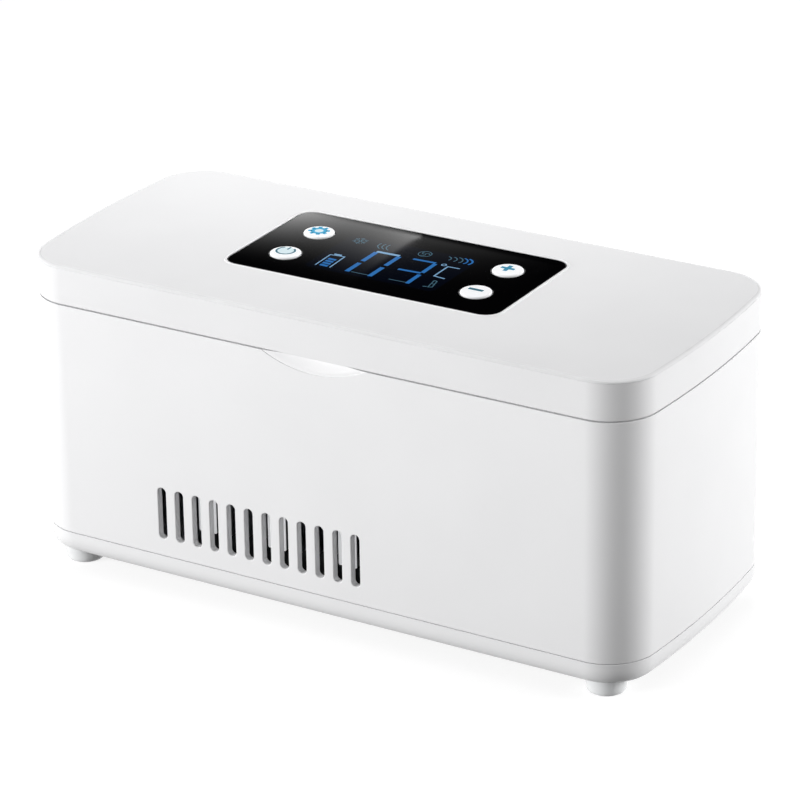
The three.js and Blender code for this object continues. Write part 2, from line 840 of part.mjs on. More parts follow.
function heatSink() {
  const count = Math.floor((sinkLength - finThickness - 2 * finShift) / finPitch) + 1;
  const first = finShift - (count - 1) * finPitch / 2;
  const shape = new THREE.Shape();
  shape.moveTo(-sinkLength / 2, sinkTopZ);
  shape.lineTo(-sinkLength / 2, sinkTopZ - sinkBase);
  for (let i = 0; i < count; i += 1) {
    const x = first + i * finPitch;
    shape.lineTo(x - finThickness / 2, sinkTopZ - sinkBase);
    shape.lineTo(x - finThickness / 2, sinkZ);
    shape.lineTo(x + finThickness / 2, sinkZ);
    shape.lineTo(x + finThickness / 2, sinkTopZ - sinkBase);
  }
  shape.lineTo(sinkLength / 2, sinkTopZ - sinkBase);
  shape.lineTo(sinkLength / 2, sinkTopZ);
  shape.closePath();
  const comb = prismAlongY(shape, -sinkWidth / 2, sinkWidth / 2).translate([stackX, 0, 0]);
  const pockets = atSpots(clampSpots, (x, y) => join(
    rod(x, y, sinkZ - overrun, sinkTopZ - sinkBase, clampPocketRadius, smallRoundSides),
    rod(x, y, sinkZ, sinkTopZ + overrun, screwRadius + seatGap, screwSides),
  ));
  return cut(comb, pockets);
}

function clampScrew(x, y) {
  const headZ = sinkTopZ - sinkBase - seatGap - screwHeadHeight;
  const length = coldBlockZ + clampScrewDepth - seatGap - (headZ + screwHeadHeight);
  return screw(x, y, headZ, length, 1, screwRadius, screwHeadRadius, screwHeadHeight);
}

// Fan

const rotorZ = fanZ + fanHolderHeight + seatGap;
const rotorTopZ = fanZ + fanDepth - rotorTopDrop;

function fanFrame() {
  const outline = roundedRectangle(fanSize, fanSize, fanCorner, stackX, 0);
  const ring = cut(
    prism(outline, fanZ, fanZ + fanDepth, grilleEndSteps),
    rod(stackX, 0, fanZ - overrun, fanZ + fanDepth + overrun, fanBore / 2, roundSides * 2),
    atSpots(fanSpots, (x, y) => (
      rod(x, y, fanZ - overrun, fanZ + fanDepth + overrun, smallScrewRadius + seatGap, screwSides)
    )),
  );
  const struts = [];
  for (let i = 0; i < fanStrutCount; i += 1) {
    const half = fanStrutWidth / 2;
    const strut = box(0, fanBore / 2 + seatGap, -half, half, fanZ, fanZ + fanHolderHeight);
    const angle = fanStrutStart + i * fullTurn / fanStrutCount;
    struts.push(strut.rotate([0, 0, angle]).translate([stackX, 0, 0]));
  }
  return join(
    ring,
    ...struts,
    rod(stackX, 0, fanZ, fanZ + fanHolderHeight, fanHubRadius),
    rod(stackX, 0, fanZ, fanZ + fanHolderHeight + fanShaftHeight, fanShaftRadius, smallRoundSides),
  );
}

// One blade: a sector of a thin disc whose height climbs with the angle
function blade(angle) {
  const inner = fanHubRadius - bladeThickness;
  const outer = fanBore / 2 - bladeTipGap;
  const sweep = THREE.MathUtils.degToRad(bladeSweep);
  const shape = new THREE.Shape();
  shape.absarc(0, 0, outer, 0, sweep);
  shape.absarc(0, 0, inner, sweep, 0, true);
  shape.closePath();
  const geometry = new THREE.ExtrudeGeometry(shape, {
    depth: bladeThickness,
    bevelEnabled: false,
    curveSegments: slotEndSteps,
  });
  const positions = geometry.attributes.position;
  for (let i = 0; i < positions.count; i += 1) {
    const climb = bladeRise * Math.atan2(positions.getY(i), positions.getX(i)) / sweep;
    positions.setZ(i, positions.getZ(i) + climb);
  }
  return toSolid(geometry).rotate([0, 0, angle]);
}

function fanRotor() {
  const blades = [];
  const lift = rotorZ + (rotorTopZ - rotorZ - bladeRise - bladeThickness) / 2;
  for (let i = 0; i < bladeCount; i += 1) {
    blades.push(blade(i * fullTurn / bladeCount).translate([0, 0, lift]));
  }
  const hub = rod(0, 0, rotorZ, rotorTopZ, fanHubRadius);
  const boreTopZ = rotorZ + fanShaftHeight;
  const bore = rod(0, 0, rotorZ - overrun, boreTopZ, fanShaftRadius + seatGap, smallRoundSides);
  return cut(join(hub, ...blades), bore).translate([stackX, 0, 0]);
}

function fanScrew(x, y) {
  return smallScrew(x, y, bottomZ + seatGap / 2, fanScrewLength, 1);
}

// Battery

const cellY = cellRadius + cellGap / 2;

function batteryTray() {
  return cut(
    box(trayX - trayOutX, trayX + trayOutX, -trayOutY, trayOutY, trayZ, trayZ + trayHeight),
    box(trayX - trayInX, trayX + trayInX, -trayInY, trayInY, trayZ + trayFloor, trayZ + trayHeight + overrun),
  );
}

function batteryCell(side) {
  const x0 = trayX - cellLength / 2;
  const x1 = trayX + cellLength / 2;
  return join(
    rodAlongX(x0, x1, side * cellY, cellZ, cellRadius),
    rodAlongX(x1 - seatGap, x1 + cellButtonHeight, side * cellY, cellZ, cellButtonRadius, smallRoundSides),
  );
}

// The nickel strip that joins the two cells at one end, from x0 on
function batteryTab(x0) {
  const reach = cellY + cellButtonRadius;
  return box(x0, x0 + tabThickness, -reach, reach, cellZ - tabWidth / 2, cellZ + tabWidth / 2);
}

// Main board and its components

// Places on the board as shares of its half length and half width
const capacitorShares = [[0.62, -0.08], [0.62, -0.4], [0.3, -0.08]];
const chipShares = [[-0.5, 0.45], [-0.5, -0.1]];
const inductorShares = [-0.12, 0.5];
const boardWidth = boardBackY - boardFrontY;
const boardMiddleY = (boardBackY + boardFrontY) / 2;

function onBoard([shareX, shareY]) {
  return [boardX + shareX * boardLength / 2, boardMiddleY + shareY * boardWidth / 2];
}

// Soldered components start a little below the board's face, as their legs do
const solderZ = boardTopZ - solderSink;

function boardCapacitor(x, y) {
  const top = boardTopZ + capacitorHeight;
  return turned([
    [0, solderZ],
    [capacitorRadius, solderZ],
    [capacitorRadius, top - capacitorBevel],
    [capacitorRadius - capacitorBevel, top],
    [0, top],
  ], x, y, smallRoundSides);
}

function boardChip([x, y], length, width) {
  return box(x - length / 2, x + length / 2, y - width / 2, y + width / 2, solderZ, boardTopZ + chipHeight);
}

function mainBoard() {
  const outline = roundedRectangle(boardLength, boardWidth, boardCorner, boardX, boardMiddleY);
  const holes = atSpots(boardSpots, (x, y) => (
    rod(x, y, boardZ - overrun, boardTopZ + overrun, smallScrewRadius + seatGap, screwSides)
  ));
  const coil = roundedRectangle(inductorSize, inductorSize, inductorCorner, ...onBoard(inductorShares));
  return cut(
    join(
      prism(outline, boardZ, boardTopZ, 1),
      ...capacitorShares.map((shares) => boardCapacitor(...onBoard(shares))),
      boardChip(onBoard(chipShares[0]), largeChipSize, largeChipSize),
      boardChip(onBoard(chipShares[1]), smallChipLength, smallChipWidth),
      prism(coil, solderZ, boardTopZ + inductorHeight, 1),
    ),
    holes,
  );
}

function boardScrew(x, y) {
  return smallScrew(x, y, boardTopZ + seatGap + smallScrewHeadHeight, smallScrewLength, -1);
}

function dcJack() {
  const back = caseWidth / 2 - bodyWall - seatGap;
  const z = boardTopZ + jackHeight / 2;
  const zLow = boardTopZ + seatGap;
  const mouth = caseWidth / 2 - seatGap;
  const half = jackWidth / 2;
  return join(
    cut(
      join(
        box(jackX - half, jackX + half, back - jackLength, back, zLow, boardTopZ + jackHeight),
        rodAlongY(jackX, back - seatGap, mouth, z, jackCollarRadius),
      ),
      rodAlongY(jackX, mouth - jackBoreDepth, mouth + overrun, z, jackBoreRadius),
    ),
    rodAlongY(jackX, mouth - jackBoreDepth - seatGap, mouth - jackBoreDepth + jackPinDepth, z,
      jackPinRadius, screwSides),
  );
}

function temperatureSensor() {
  const z = chamberBottomZ - seatGap - sensorRadius;
  return rodAlongX(sensorX, sensorX + sensorLength, 0, z, sensorRadius, smallRoundSides);
}

// Hinge pins and magnets

function hingePin(x) {
  const half = hingeHalf - pinEndInset;
  return rodAlongX(x - half, x + half, hingeY, hingeZ, pinRadius, smallRoundSides);
}

// Lid

const lidBossSpots = cornerSpots(lidBossX, lidBossY);
const displaySpots = cornerSpots(
  displayBoardLength / 2 - displayPostInset,
  displayBoardWidth / 2 - displayPostInset,
  panelX,
  panelY,
);

// The outline of the control panel, grown or shrunk by a margin
function panelOutline(margin) {
  const length = panelLength + 2 * margin;
  const width = panelWidth + 2 * margin;
  return roundedRectangle(length, width, panelCorner + margin, panelX, panelY);
}

function lidShell() {
  const form = loftedCase([
    [lidZ, rimBevel],
    [lidZ + rimBevel, 0],
    [topZ - topEdgeRise, 0],
    [topZ - topEdgeRise / 3, topEdgeInset / 4],
    [topZ, topEdgeInset],
  ]);
  const hollow = prism(caseOutline(lidWall), lidZ - overrun, roofZ);
  const recess = prism(panelOutline(panelFitGap), panelZ - panelBedGap, topZ + overrun);
  const window = prism(panelOutline(-panelLedge), lidZ, topZ + overrun);
  const bosses = atSpots(lidBossSpots, (x, y) => (
    rod(x, y, linerTopZ + seatGap, topZ - lidRoof / 2, lidBossRadius, smallRoundSides)
  ));
  const bossHoles = atSpots(lidBossSpots, (x, y) => (
    rod(x, y, linerTopZ, linerTopZ + smallScrewLength + seatGap, smallScrewRadius + seatGap, screwSides)
  ));
  const posts = atSpots(displaySpots, (x, y) => (
    rod(x, y, displayBoardTopZ + seatGap, topZ - lidRoof / 2, displayPostRadius, smallRoundSides)
  ));
  const postHoles = atSpots(displaySpots, (x, y) => (
    rod(x, y, displayBoardTopZ, roofZ + lidRoof / 4, smallScrewRadius + seatGap, screwSides)
  ));
  const half = lidKnuckleLength / 2;
  const knuckles = atSpots(hingeSpots, (x) => knuckle(x - half, x + half, 1));
  const walls = cut(
    join(cut(form, hollow), rail(lidZ + rimBevel, lidZ + railHeight), bosses, posts),
    bossHoles,
    postHoles,
    recess,
    window,
    hingeGroove(1),
    barrelPockets(),
  );
  return cut(join(walls, knuckles), pinBores());
}

// The middle line of the gasket, grown or shrunk by a margin
function gasketOutline(margin) {
  return chamberOutline(chamberWall + chamberFlange + gasketMargin + margin);
}

function gasketRing(z0, z1, halfWidth) {
  return cut(
    prism(gasketOutline(halfWidth), z0, z1),
    prism(gasketOutline(-halfWidth), z0 - overrun, z1 + overrun),
  );
}

function lidLiner() {
  const plate = prism(caseOutline(lidWall + seatGap), lidZ, linerTopZ).subtract(railRoom());
  const plug = prism(chamberOutline(-plugMargin), lidZ - plugDepth, linerTopZ);
  const plugInside = chamberOutline(-plugMargin - plugWall);
  const plugHollow = prism(plugInside, lidZ - plugDepth + plugWall, linerTopZ + overrun);
  const groove = gasketRing(lidZ - overrun, lidZ + gasketGrooveDepth, gasketWidth / 2 + seatGap);
  const holes = atSpots(lidBossSpots, (x, y) => join(
    rod(x, y, lidZ - overrun, linerTopZ + overrun, smallScrewRadius + seatGap, screwSides),
    rod(x, y, lidZ - overrun, lidZ + lidScrewRecess, smallScrewHeadRadius + seatGap, smallRoundSides),
  ));
  return cut(join(plate, plug), plugHollow, groove, holes);
}

function lidGasket() {
  return gasketRing(trimTopZ + seatGap, lidZ + gasketGrooveDepth - seatGap, gasketWidth / 2);
}

function lidScrew(x, y) {
  return smallScrew(x, y, lidZ + lidScrewRecess - seatGap - smallScrewHeadHeight, smallScrewLength, 1);
}

function lidMagnet(x, y) {
  return rod(x, y, lidFoamZ, lidFoamZ + magnetHeight, magnetRadius, smallRoundSides);
}

function lidInsulation() {
  const gap = seatGap;
  const slab = prism(caseOutline(lidWall + gap), lidFoamZ, lidFoamTopZ);
  const plugInside = chamberOutline(-plugMargin - plugWall - gap);
  const inPlug = prism(plugInside, lidZ - plugDepth + plugWall + gap, lidFoamTopZ);
  const roomX = displayBoardLength / 2 + gap;
  const roomY = displayBoardWidth / 2 + gap;
  const roomZ = displayBoardZ - smallScrewHeadHeight - gap;
  return cut(
    join(slab, inPlug),
    box(panelX - roomX, panelX + roomX, panelY - roomY, panelY + roomY, roomZ, topZ),
    atSpots(lidBossSpots, (x, y) => (
      rod(x, y, lidFoamZ - overrun, topZ, lidBossRadius + gap, smallRoundSides)
    )),
    magnetPockets(lidFoamZ - overrun, lidFoamZ + magnetHeight + gap),
    railRoom(),
  );
}

// Control panel, keys and display

const keyCorners = cornerSpots(keySpacingX / 2, keySpacingY / 2, panelX, panelY);
const keySpots = {
  settings: keyCorners.back_left,
  power: keyCorners.front_left,
  plus: keyCorners.back_right,
  minus: keyCorners.front_right,
};

function controlPanel() {
  return cut(
    prism(panelOutline(0), panelZ, topZ),
    atSpots(keySpots, (x, y) => (
      rod(x, y, panelZ - overrun, topZ + overrun, keyRadius + keyHoleGap, keySides)
    )),
  );
}

function panelKey(x, y) {
  const crown = topZ + keyProud;
  return turned([
    [0, keyBottomZ],
    [keyFlangeRadius, keyBottomZ],
    [keyFlangeRadius, keyFlangeTopZ],
    [keyRadius, keyFlangeTopZ],
    [keyRadius, crown - keyEdgeBevel],
    [keyRadius - keyEdgeBevel / 3, crown - keyEdgeBevel / 3],
    [keyRadius - keyEdgeBevel, crown],
    [0, crown],
  ], x, y, keySides);
}

function displayModule() {
  const halfX = displayLength / 2;
  const halfY = displayWidth / 2;
  const inX = halfX - displayFrame;
  const inY = halfY - displayFrame;
  return cut(
    box(panelX - halfX, panelX + halfX, panelY - halfY, panelY + halfY, displayZ, displayTopZ),
    box(panelX - inX, panelX + inX, panelY - inY, panelY + inY, displayTopZ - displayFrameStep, displayTopZ + overrun),
  );
}

// A push switch soldered to the display board under a key
function keySwitch(x, y) {
  const half = switchSize / 2;
  const z = displayBoardTopZ - solderSink;
  return join(
    box(x - half, x + half, y - half, y + half, z, displayBoardTopZ + switchHeight),
    rod(x, y, z, plungerTopZ, plungerRadius, screwSides),
  );
}

function displayBoard() {
  const outline = roundedRectangle(displayBoardLength, displayBoardWidth, boardCorner, panelX, panelY);
  const holes = atSpots(displaySpots, (x, y) => (
    rod(x, y, displayBoardZ - overrun, displayBoardTopZ + overrun, smallScrewRadius + seatGap, screwSides)
  ));
  const plate = cut(prism(outline, displayBoardZ, displayBoardTopZ, 1), holes);
  return join(plate, atSpots(keySpots, keySwitch));
}

function displayBoardScrew(x, y) {
  const headZ = displayBoardZ - seatGap / 2 - smallScrewHeadHeight;
  return smallScrew(x, y, headZ, roofZ - seatGap - headZ - smallScrewHeadHeight, 1);
}

// The assembly

const finishes = {
  glossWhite: new THREE.MeshStandardMaterial({ color: 0xf2f2f3, roughness: 0.2, metalness: 0 }),
  satinWhite: new THREE.MeshStandardMaterial({ color: 0xe9e9ea, roughness: 0.45, metalness: 0 }),
  softClear: new THREE.MeshStandardMaterial({ color: 0xe6e8ea, roughness: 0.3, metalness: 0 }),
  panelBlack: new THREE.MeshStandardMaterial({ color: 0x050506, roughness: 0.08, metalness: 0 }),
  silicone: new THREE.MeshStandardMaterial({ color: 0x9a9c9f, roughness: 0.7, metalness: 0 }),
  foam: new THREE.MeshStandardMaterial({ color: 0x242528, roughness: 0.95, metalness: 0 }),
  aluminium: new THREE.MeshStandardMaterial({ color: 0xc4c6c9, roughness: 0.35, metalness: 1 }),
  steel: new THREE.MeshStandardMaterial({ color: 0xa8abb0, roughness: 0.3, metalness: 1 }),
  ceramic: new THREE.MeshStandardMaterial({ color: 0xf0efe9, roughness: 0.6, metalness: 0 }),
  fanBlack: new THREE.MeshStandardMaterial({ color: 0x17181a, roughness: 0.5, metalness: 0 }),
  board: new THREE.MeshStandardMaterial({ color: 0x1c5a34, roughness: 0.5, metalness: 0 }),
  component: new THREE.MeshStandardMaterial({ color: 0x242628, roughness: 0.5, metalness: 0 }),
  cellSleeve: new THREE.MeshStandardMaterial({ color: 0x2f6fb3, roughness: 0.4, metalness: 0 }),
};

const assembly = new THREE.Group();

function place(parent, name, solid, finish) {
  const mesh = new THREE.Mesh(toGeometry(solid), finishes[finish]);
  mesh.name = name;
  parent.add(mesh);
}

// One mesh of the same piece at every spot, named for its spot
function placeAtSpots(parent, name, spots, make, finish) {
  for (const [spot, [x, y]] of Object.entries(spots)) {
    place(parent, `${name}_${spot}`, make(x, y), finish);
  }
}

const body = new THREE.Group();
const lid = new THREE.Group();
assembly.add(body, lid);

place(body, 'body_shell', bodyShell(), 'glossWhite');
place(body, 'base_cover', baseCover(), 'glossWhite');
placeAtSpots(body, 'foot', footSpots, foot, 'softClear');
placeAtSpots(body, 'base_screw', footSpots, baseScrew, 'steel');
place(body, 'cold_chamber', coldChamber(), 'aluminium');
place(body, 'chamber_trim', chamberTrim(), 'satinWhite');
place(body, 'chamber_insulation', chamberInsulation(), 'foam');
place(body, 'cold_block', coldBlock(), 'aluminium');
place(body, 'peltier_module', peltierModule(), 'ceramic');
place(body, 'heat_sink', heatSink(), 'aluminium');
placeAtSpots(body, 'clamp_screw', clampSpots, clampScrew, 'steel');
place(body, 'fan_frame', fanFrame(), 'fanBlack');
place(body, 'fan_rotor', fanRotor(), 'fanBlack');
placeAtSpots(body, 'fan_screw', fanSpots, fanScrew, 'steel');
place(body, 'battery_tray', batteryTray(), 'satinWhite');
place(body, 'battery_cell_front', batteryCell(-1), 'cellSleeve');
place(body, 'battery_cell_back', batteryCell(1), 'cellSleeve');
place(body, 'battery_tab_left', batteryTab(trayX - cellLength / 2 - tabGap - tabThickness), 'steel');
place(body, 'battery_tab_right', batteryTab(trayX + cellLength / 2 + cellButtonHeight + tabGap), 'steel');
place(body, 'main_board', mainBoard(), 'board');
placeAtSpots(body, 'main_board_screw', boardScrewSpots, boardScrew, 'steel');
place(body, 'dc_jack', dcJack(), 'component');
place(body, 'temperature_sensor', temperatureSensor(), 'steel');
placeAtSpots(body, 'body_magnet', magnetSpots, bodyMagnet, 'steel');
placeAtSpots(body, 'hinge_pin', hingeSpots, hingePin, 'steel');

place(lid, 'lid_shell', lidShell(), 'glossWhite');
place(lid, 'lid_liner', lidLiner(), 'satinWhite');
place(lid, 'lid_gasket', lidGasket(), 'silicone');
place(lid, 'lid_insulation', lidInsulation(), 'foam');
placeAtSpots(lid, 'lid_screw', lidBossSpots, lidScrew, 'steel');
placeAtSpots(lid, 'lid_magnet', magnetSpots, lidMagnet, 'steel');
place(lid, 'control_panel', controlPanel(), 'panelBlack');
place(lid, 'display_module', displayModule(), 'component');
place(lid, 'display_board', displayBoard(), 'board');
placeAtSpots(lid, 'display_screw', displaySpots, displayBoardScrew, 'steel');
placeAtSpots(lid, 'key', keySpots, panelKey, 'glossWhite');

export default assembly;
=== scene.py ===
import logging
import math
from collections.abc import Callable, Iterable, Sequence
from dataclasses import dataclass, field
from enum import Enum

import bmesh
import bpy
from mathutils import Matrix, Vector


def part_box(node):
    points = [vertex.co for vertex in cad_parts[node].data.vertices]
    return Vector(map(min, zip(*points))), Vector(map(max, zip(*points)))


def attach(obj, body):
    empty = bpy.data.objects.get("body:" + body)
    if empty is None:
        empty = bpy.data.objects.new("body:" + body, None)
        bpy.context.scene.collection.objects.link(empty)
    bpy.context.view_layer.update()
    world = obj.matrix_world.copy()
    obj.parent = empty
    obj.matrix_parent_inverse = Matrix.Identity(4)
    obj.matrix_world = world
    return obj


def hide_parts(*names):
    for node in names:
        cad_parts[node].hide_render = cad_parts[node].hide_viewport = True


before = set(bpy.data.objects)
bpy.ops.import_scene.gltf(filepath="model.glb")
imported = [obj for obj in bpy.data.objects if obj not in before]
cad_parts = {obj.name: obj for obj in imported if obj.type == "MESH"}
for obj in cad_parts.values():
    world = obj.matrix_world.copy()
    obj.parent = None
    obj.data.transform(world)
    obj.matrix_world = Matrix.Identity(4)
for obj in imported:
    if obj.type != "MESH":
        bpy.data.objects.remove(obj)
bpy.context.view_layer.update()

LOG = logging.getLogger("cooling_case")

# Metres in a millimetre. Shapes are worked out in millimetres and become metres as pieces.
MM = 0.001
# Degrees from one point of an arc to the next: as a rule, on posts, in pilot holes and round slots' ends.
ARC_STEP, POST_STEP, PILOT_STEP, SLOT_STEP = 3.0, 15.0, 22.5, 11.25
# Sides of turned screw holes, and of turned keys, feet and their holes.
HOLE_SIDES, ROUND_SIDES = 32, 72
# What keeps two points from falling together.
HAIR = 0.001
# How far a cutter runs past what it cuts.
REACH = 10.0
# Points nearer than this are one, in a copy of a CAD mesh and in a finished piece.
CAD_MERGE, PIECE_MERGE = 0.001, 0.0008
# Faces that turn by less than this many degrees are one flat face.
FLAT_ANGLE = 0.2

# How materials vary: roughness by this share either way, colour over this many patches in a metre.
ROUGH_SPREAD = 0.12
PATCHES = 30.0
# A brushed grain is drawn out along Y by one over this.
BRUSH_DRAW = 0.04
# Roughness of the polished sides of a moulding whose top is grained.
POLISHED_SIDE = 0.2

Span = tuple[float, float]
Point2 = tuple[float, float]
Point3 = tuple[float, float, float]
Outline = list[Point2]
Profile = tuple[Point2, ...]
Level = tuple[float, Outline]
Tree = bpy.types.NodeTree


# Colour and nodes


def linear(colour: str) -> tuple[float, float, float, float]:
    """Turns an sRGB hex colour to linear light.

    Args:
        colour: the colour as "#rrggbb".

    Returns:
        Red, green, blue and an alpha of one.
    """
    channels = [int(colour[i:i + 2], 16) / 255 for i in (1, 3, 5)]
    red, green, blue = (c / 12.92 if c <= 0.04045 else ((c + 0.055) / 1.055) ** 2.4 for c in channels)
    return red, green, blue, 1.0


def add_node(tree: Tree, kind: str, settings: dict | None = None, links: dict | None = None) -> bpy.types.Node:
    """Adds a node to a tree, with its settings and links.

    Args:
        tree: the tree that gets the node.
        kind: the node's type.
        settings: values by attribute name, or by input name or number.
        links: for each input name or number, the node and the output that feed it.

    Returns:
        The new node.
    """
    node = tree.nodes.new(kind)
    for key, value in (settings or {}).items():
        if isinstance(key, str) and key.islower() and hasattr(node, key):
            setattr(node, key, value)
        else:
            node.inputs[key].default_value = value
    for key, (source, output) in (links or {}).items():
        tree.links.new(source.outputs[output], node.inputs[key])
    return node


def blank_tree(owner: bpy.types.Material | bpy.types.World) -> Tree:
    """Turns on the nodes of a material or a world and clears them.

    Args:
        owner: the material or world.

    Returns:
        Its empty tree.
    """
    owner.use_nodes = True
    owner.node_tree.nodes.clear()
    return owner.node_tree


# Meshes


def baked(thing: bpy.types.Object) -> bpy.types.Mesh:
    """The plain mesh that an object's modifiers give."""
    graph = bpy.context.evaluated_depsgraph_get()
    return bpy.data.meshes.new_from_object(thing.evaluated_get(graph), depsgraph=graph)


def shown(mesh: bpy.types.Mesh, name: str) -> bpy.types.Object:
    """An object of that mesh, in the scene.

    Args:
        mesh: its mesh.
        name: its name.

    Returns:
        The object, linked to the scene.
    """
    thing = bpy.data.objects.new(name, mesh)
    bpy.context.scene.collection.objects.link(thing)
    return thing


def swap_mesh(thing: bpy.types.Object) -> None:
    """Gives an object the mesh that its modifiers make, and clears them.

    Args:
        thing: the object.
    """
    mesh = baked(thing)
    thing.modifiers.clear()
    thing.data = mesh


def arc(x: float, y: float, radius: float, start: float, end: float, step: float = ARC_STEP) -> Outline:
    """Points along an arc, both ends included, with its angles in degrees.

    Args:
        x: the arc's middle.
        y: the arc's middle.
        radius: of the arc.
        start: where it starts.
        end: where it ends.
        step: about how far apart the points lie.

    Returns:
        The points in order.
    """
    count = max(1, round(abs(end - start) / step))
    turns = [math.radians(start + (end - start) * i / count) for i in range(count + 1)]
    return [(x + radius * math.cos(turn), y + radius * math.sin(turn)) for turn in turns]


def circle(x: float, y: float, radius: float, step: float = 7.5) -> Outline:
    """Points round a circle."""
    return arc(x, y, radius, 0, 360, step)[:-1]


def rounded(length: float, width: float, radius: float, x: float = 0, y: float = 0, step: float = ARC_STEP) -> Outline:
    """A rectangle with round corners, drawn anticlockwise about x, y.

    Args:
        length: its size in X.
        width: its size in Y.
        radius: of its corners.
        x: its middle.
        y: its middle.
        step: of the arcs, in degrees.

    Returns:
        The outline.
    """
    dx, dy = length / 2 - radius, width / 2 - radius
    corners = ((dx, -dy, -90), (dx, dy, 0), (-dx, dy, 90), (-dx, -dy, 180))
    return [p for cx, cy, turn in corners for p in arc(x + cx, y + cy, radius, turn, turn + 90, step)]


class Join(Enum):
    """How two forms are combined."""

    UNION = "UNION"
    DIFFERENCE = "DIFFERENCE"
    INTERSECT = "INTERSECT"


class Form:
    """A closed mesh in millimetres that others are added to or cut from, before it becomes a piece."""

    def __init__(self, mesh: bpy.types.Mesh) -> None:
        """Takes a closed mesh."""
        self.mesh = mesh

    @classmethod
    def made(cls, points: Sequence[Point3], faces: Sequence[Sequence[int]]) -> "Form":
        """A form from its points and faces, with all faces turned outwards.

        Args:
            points: in millimetres.
            faces: each as the numbers of its points.

        Returns:
            The form.
        """
        mesh = bpy.data.meshes.new("form")
        mesh.from_pydata(points, [], faces)
        work = bmesh.new()
        work.from_mesh(mesh)
        bmesh.ops.recalc_face_normals(work, faces=work.faces)
        work.to_mesh(mesh)
        work.free()
        return cls(mesh)

    @classmethod
    def carried(cls, node: str) -> "Form":
        """A merged copy of a CAD node's mesh.

        Args:
            node: the node's name.

        Returns:
            The form, in millimetres.
        """
        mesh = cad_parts[node].data.copy()
        mesh.materials.clear()
        mesh.transform(Matrix.Scale(1 / MM, 4))
        work = bmesh.new()
        work.from_mesh(mesh)
        bmesh.ops.remove_doubles(work, verts=work.verts, dist=CAD_MERGE)
        work.to_mesh(mesh)
        work.free()
        return cls(mesh)

    @classmethod
    def gathered(cls, forms: Iterable["Form"]) -> "Form":
        """One form of several that don't touch each other.

        Args:
            forms: the forms.

        Returns:
            All of them as one.
        """
        work = bmesh.new()
        for form in forms:
            work.from_mesh(form.mesh)
        mesh = bpy.data.meshes.new("form")
        work.to_mesh(mesh)
        work.free()
        return cls(mesh)

    def _combined(self, other: "Form", operation: Join) -> "Form":
        """This form and another, combined by a boolean operation.

        Args:
            other: the other form.
            operation: how the two are combined.

        Returns:
            The new form.
        """
        whole, tool = shown(self.mesh, "whole"), shown(other.mesh, "tool")
        combine = whole.modifiers.new("combine", "BOOLEAN")
        combine.operation, combine.solver, combine.object = operation.value, "MANIFOLD", tool
        mesh = baked(whole)
        bpy.data.objects.remove(whole)
        bpy.data.objects.remove(tool)
        return Form(mesh)

    def __add__(self, other: "Form") -> "Form":
        """Both forms as one."""
        return self._combined(other, Join.UNION)

    def __sub__(self, other: "Form") -> "Form":
        """This form with the other cut out of it."""
        return self._combined(other, Join.DIFFERENCE)

    def __and__(self, other: "Form") -> "Form":
        """What both forms share."""
        return self._combined(other, Join.INTERSECT)

    def placed(self, matrix: Matrix) -> "Form":
        """A copy of this form, moved or turned.

        Args:
            matrix: the move or turn.

        Returns:
            The copy.
        """
        mesh = self.mesh.copy()
        mesh.transform(matrix)
        return Form(mesh)

    def piece(self, name: str, smooth: float = 27.0) -> bpy.types.Object:
        """Makes the form a piece in metres, with even normals on its broad faces.

        Args:
            name: the piece's name.
            smooth: edges that turn by less than this angle in degrees are shaded smooth.

        Returns:
            The piece, in the scene.
        """
        work = bmesh.new()
        work.from_mesh(self.mesh)
        bmesh.ops.remove_doubles(work, verts=work.verts, dist=PIECE_MERGE)
        bmesh.ops.dissolve_limit(work, angle_limit=math.radians(FLAT_ANGLE), verts=work.verts, edges=work.edges)
        mesh = bpy.data.meshes.new(name)
        work.to_mesh(mesh)
        work.free()
        mesh.transform(Matrix.Scale(MM, 4))
        mesh.shade_smooth()
        mesh.set_sharp_from_angle(angle=math.radians(smooth))
        thing = shown(mesh, name)
        even = thing.modifiers.new("even", "WEIGHTED_NORMAL")
        even.keep_sharp = True
        swap_mesh(thing)
        return thing


def loft(levels: Sequence[Level]) -> Form:
    """A closed form through outlines at rising heights, each with the same number of points.

    Args:
        levels: heights with their outlines, the lowest first.

    Returns:
        The closed form.
    """
    count = len(levels[0][1])
    points = [(x, y, z) for z, outline in levels for x, y in outline]
    faces: list[Sequence[int]] = [tuple(reversed(range(count)))]
    for level in range(len(levels) - 1):
        for i in range(count):
            a, b = level * count + i, level * count + (i + 1) % count
            faces.append((a, b, b + count, a + count))
    faces.append(tuple(range((len(levels) - 1) * count, len(levels) * count)))
    return Form.made(points, faces)


def hoop(levels: Sequence[Level]) -> Form:
    """A closed ring whose section runs through outlines and back to the first.

    Args:
        levels: heights with their outlines, in the order of the section.

    Returns:
        The closed ring.
    """
    count, total = len(levels[0][1]), len(levels)
    points = [(x, y, z) for z, outline in levels for x, y in outline]
    faces = []
    for level in range(total):
        above = (level + 1) % total
        for i in range(count):
            j = (i + 1) % count
            faces.append((level * count + i, level * count + j, above * count + j, above * count + i))
    return Form.made(points, faces)


def prism(outline: Outline, z0: float, z1: float) -> Form:
    """An outline in X and Y, run up from one height to another."""
    return loft([(z0, outline), (z1, outline)])


def prism_along_y(outline: Outline, y0: float, y1: float) -> Form:
    """An outline in X and Z, run along Y."""
    return prism(outline, -y1, -y0).placed(Matrix.Rotation(math.pi / 2, 4, "X"))


def prism_along_x(outline: Outline, x0: float, x1: float) -> Form:
    """An outline in Y and Z, run along X."""
    cycle = Matrix(((0, 0, 1, 0), (1, 0, 0, 0), (0, 1, 0, 0), (0, 0, 0, 1)))
    return prism(outline, x0, x1).placed(cycle)


